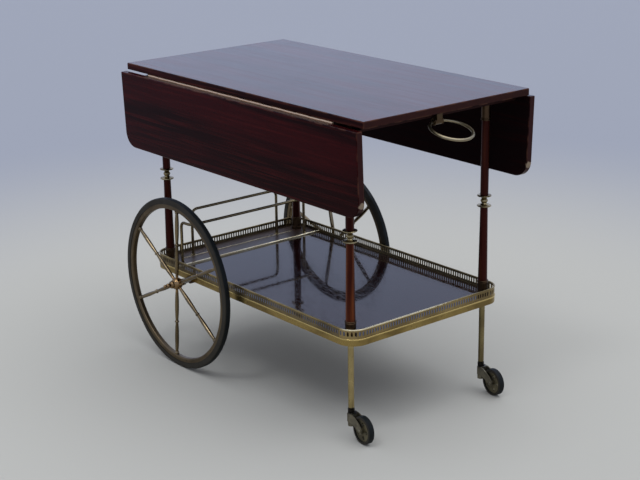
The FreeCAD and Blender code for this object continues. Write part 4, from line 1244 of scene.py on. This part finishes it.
@dataclass
class Studio:
    """Pale floor, soft light and the camera at the photograph's angle."""

    eye: Place = (2.577749, -2.107475, 1.382094)
    turn: Place = (1.263811, 0.013926, 0.881181)
    lens: float = 82.6
    sensor: float = 36.0
    seen: Colour = (0.64, 0.73, 1.0)
    light: Colour = (0.94, 0.96, 1.0)
    light_strength: float = 0.5
    broad_way: Place = (0.7, 0.35, 3.0)
    broad_strength: float = 1.4
    broad_angle: float = math.radians(70)
    narrow_way: Place = (0.06, -0.52, 0.85)
    narrow_strength: float = 0.3
    narrow_angle: float = math.radians(14)
    floor_size: float = 240.0
    # Painted pool of light round the trolley, then a darker ring of painted shade, then a pale blue rim
    floor_lit_pool: Colour = (0.52, 0.525, 0.51)
    floor_shade_ring: Colour = (0.33, 0.36, 0.45)
    floor_rim: Colour = (0.68, 0.75, 0.98)
    far_limits: Span = (0.9, 2.6)
    rim_limits: Span = (8.0, 60.0)
    speckle: Pattern = Pattern(160.0, 3.0)
    speckle_limits: Span = (0.3, 0.7)
    speckle_share: float = 0.12
    speckle_tone: Colour = (0.5, 0.5, 0.5)
    floor_roughness: float = 0.9
    floor_specular: float = 0.2

    def build(self) -> None:
        """Builds the floor, the light and the camera."""
        self.build_floor()
        self.build_world()
        self.add_lamp("broad_lamp", self.broad_way, self.broad_strength, self.broad_angle)
        self.add_lamp("narrow_lamp", self.narrow_way, self.narrow_strength, self.narrow_angle)
        self.build_camera()
        bpy.context.scene.view_settings.view_transform = "Standard"

    def build_floor(self) -> None:
        """Adds the floor: brighter round the trolley as a painted pool of light, darker beyond it as painted
        shade, and pale blue far out.
        """
        bpy.ops.object.select_all(action="DESELECT")
        bpy.ops.mesh.primitive_plane_add(size=self.floor_size, location=(0.0, 0.0, 0.0))
        floor = bpy.context.object
        floor.name = "studio_floor"
        material, g, shader = start_material("pale_floor")
        place = g.node("ShaderNodeTexCoord").outputs["Object"]
        far = g.measure("LENGTH", place)
        colour = g.blend(g.fade(far, *self.far_limits), self.floor_lit_pool, self.floor_shade_ring)
        colour = g.blend(g.fade(far, *self.rim_limits), colour, self.floor_rim)
        speckle = g.fade(self.speckle.draw(g, place), *self.speckle_limits, 0.0, self.speckle_share)
        g.feed(shader.inputs["Base Color"], g.blend(speckle, colour, self.speckle_tone))
        shader.inputs["Roughness"].default_value = self.floor_roughness
        shader.inputs["Specular IOR Level"].default_value = self.floor_specular
        floor.data.materials.append(material)

    def build_world(self) -> None:
        """Adds even light from all round, seen by the camera and in gloss as a pale backdrop."""
        world = bpy.data.worlds.new("studio")
        world.use_nodes = True
        bpy.context.scene.world = world
        world.node_tree.nodes.clear()
        g = Graph(world.node_tree)
        path = g.node("ShaderNodeLightPath").outputs
        rays = ("Is Camera Ray", "Is Glossy Ray", "Is Transmission Ray")
        looked_at = g.strongest([path[ray] for ray in rays])
        lit = g.node("ShaderNodeBackground", (*self.light, 1.0), self.light_strength).outputs[0]
        backdrop = g.node("ShaderNodeBackground", (*self.seen, 1.0), 1.0).outputs[0]
        mixed = g.node("ShaderNodeMixShader", looked_at, lit, backdrop).outputs[0]
        g.node("ShaderNodeOutputWorld", mixed)

    def add_lamp(self, name: str, way: Place, strength: float, angle: float) -> None:
        """Adds a far-off soft lamp.

        Args:
            name: Name of the lamp.
            way: Way from the trolley to the lamp.
            strength: Light on a surface that faces it.
            angle: How wide the lamp looks.
        """
        lamp = bpy.data.lights.new(name, "SUN")
        lamp.energy = strength
        lamp.angle = angle
        holder = bpy.data.objects.new(name, lamp)
        bpy.context.scene.collection.objects.link(holder)
        holder.location = way
        holder.rotation_euler = Vector(way).to_track_quat("Z", "Y").to_euler()

    def build_camera(self) -> None:
        """Adds the camera, set out from the middle of the top board."""
        camera = bpy.data.cameras.new("camera")
        camera.lens = self.lens
        camera.sensor_width = self.sensor
        holder = bpy.data.objects.new("camera", camera)
        bpy.context.scene.collection.objects.link(holder)
        holder.location = Vector(self.eye) + Vector((middle("top_board").x, 0.0, 0.0))
        holder.rotation_euler = self.turn
        bpy.context.scene.camera = holder


def make_finishes() -> Finishes:
    """Builds the effects, and the metals and rubber that several assemblies share.

    Returns:
        The finishes.
    """
    for make in (make_patterns, make_arris_wear, make_back_face, make_wear_and_light_spot):
        make()
    finishes = Finishes()
    # Name, tones of the bright metal, the stains and the specks, roughness, share and size of the stains
    metals = (
        ("polished_brass", (0.78, 0.62, 0.34), (0.50, 0.37, 0.17), (0.16, 0.11, 0.05), 0.17),
        ("bar_brass", (0.93, 0.80, 0.50), (0.66, 0.52, 0.28), (0.2, 0.14, 0.07), 0.12),
        ("ring_brass", (0.31, 0.255, 0.155), (0.16, 0.13, 0.074), (0.07, 0.05, 0.03), 0.26),
        # Painted light and shade: a lit and a shaded copy of the gallery's brass
        ("front_brass", (0.33, 0.243, 0.107), (0.168, 0.12, 0.052), (0.065, 0.047, 0.024), 0.24),
        ("gallery_brass", (0.19, 0.145, 0.075), (0.09, 0.066, 0.034), (0.04, 0.03, 0.018), 0.26),
        ("wire_brass", (0.23, 0.175, 0.09), (0.105, 0.076, 0.04), (0.04, 0.03, 0.018), 0.14),
        ("rim_brass", (0.128, 0.092, 0.05), (0.06, 0.043, 0.025), (0.03, 0.022, 0.015), 0.34),
        ("hub_brass", (0.25, 0.155, 0.07), (0.12, 0.074, 0.036), (0.05, 0.033, 0.018), 0.14),
        ("collar_brass", (0.37, 0.295, 0.15), (0.145, 0.11, 0.054), (0.05, 0.037, 0.02), 0.15, 0.9, 2.5),
        ("ferrule_brass", (0.092, 0.054, 0.028), (0.042, 0.025, 0.0135), (0.018, 0.012, 0.008), 0.24),
        ("bracket_brass", (0.115, 0.073, 0.037), (0.052, 0.034, 0.018), (0.02, 0.014, 0.009), 0.3),
        ("disc_bronze", (0.185, 0.16, 0.095), (0.09, 0.076, 0.048), (0.04, 0.034, 0.024), 0.36, 0.8, 3.0),
        ("dull_steel", (0.42, 0.41, 0.39), (0.2, 0.18, 0.16), (0.1, 0.07, 0.05), 0.34),
    )
    for metal in metals:
        finishes.add(BrassFinish(*metal))
    finishes.add(RubberFinish("black_rubber"))
    return finishes


def main() -> None:
    """Builds the classes in order and reports each piece."""
    logging.basicConfig(level=logging.INFO, format="%(name)s: %(message)s")
    finishes = make_finishes()
    for kind in (TableTop, Columns, Tray, Wheels, Casters, RingHandle):
        assembly = kind(finishes)
        assembly.dress()
        assembly.build()
    Studio().build()


if __name__ == "__main__":
    main()
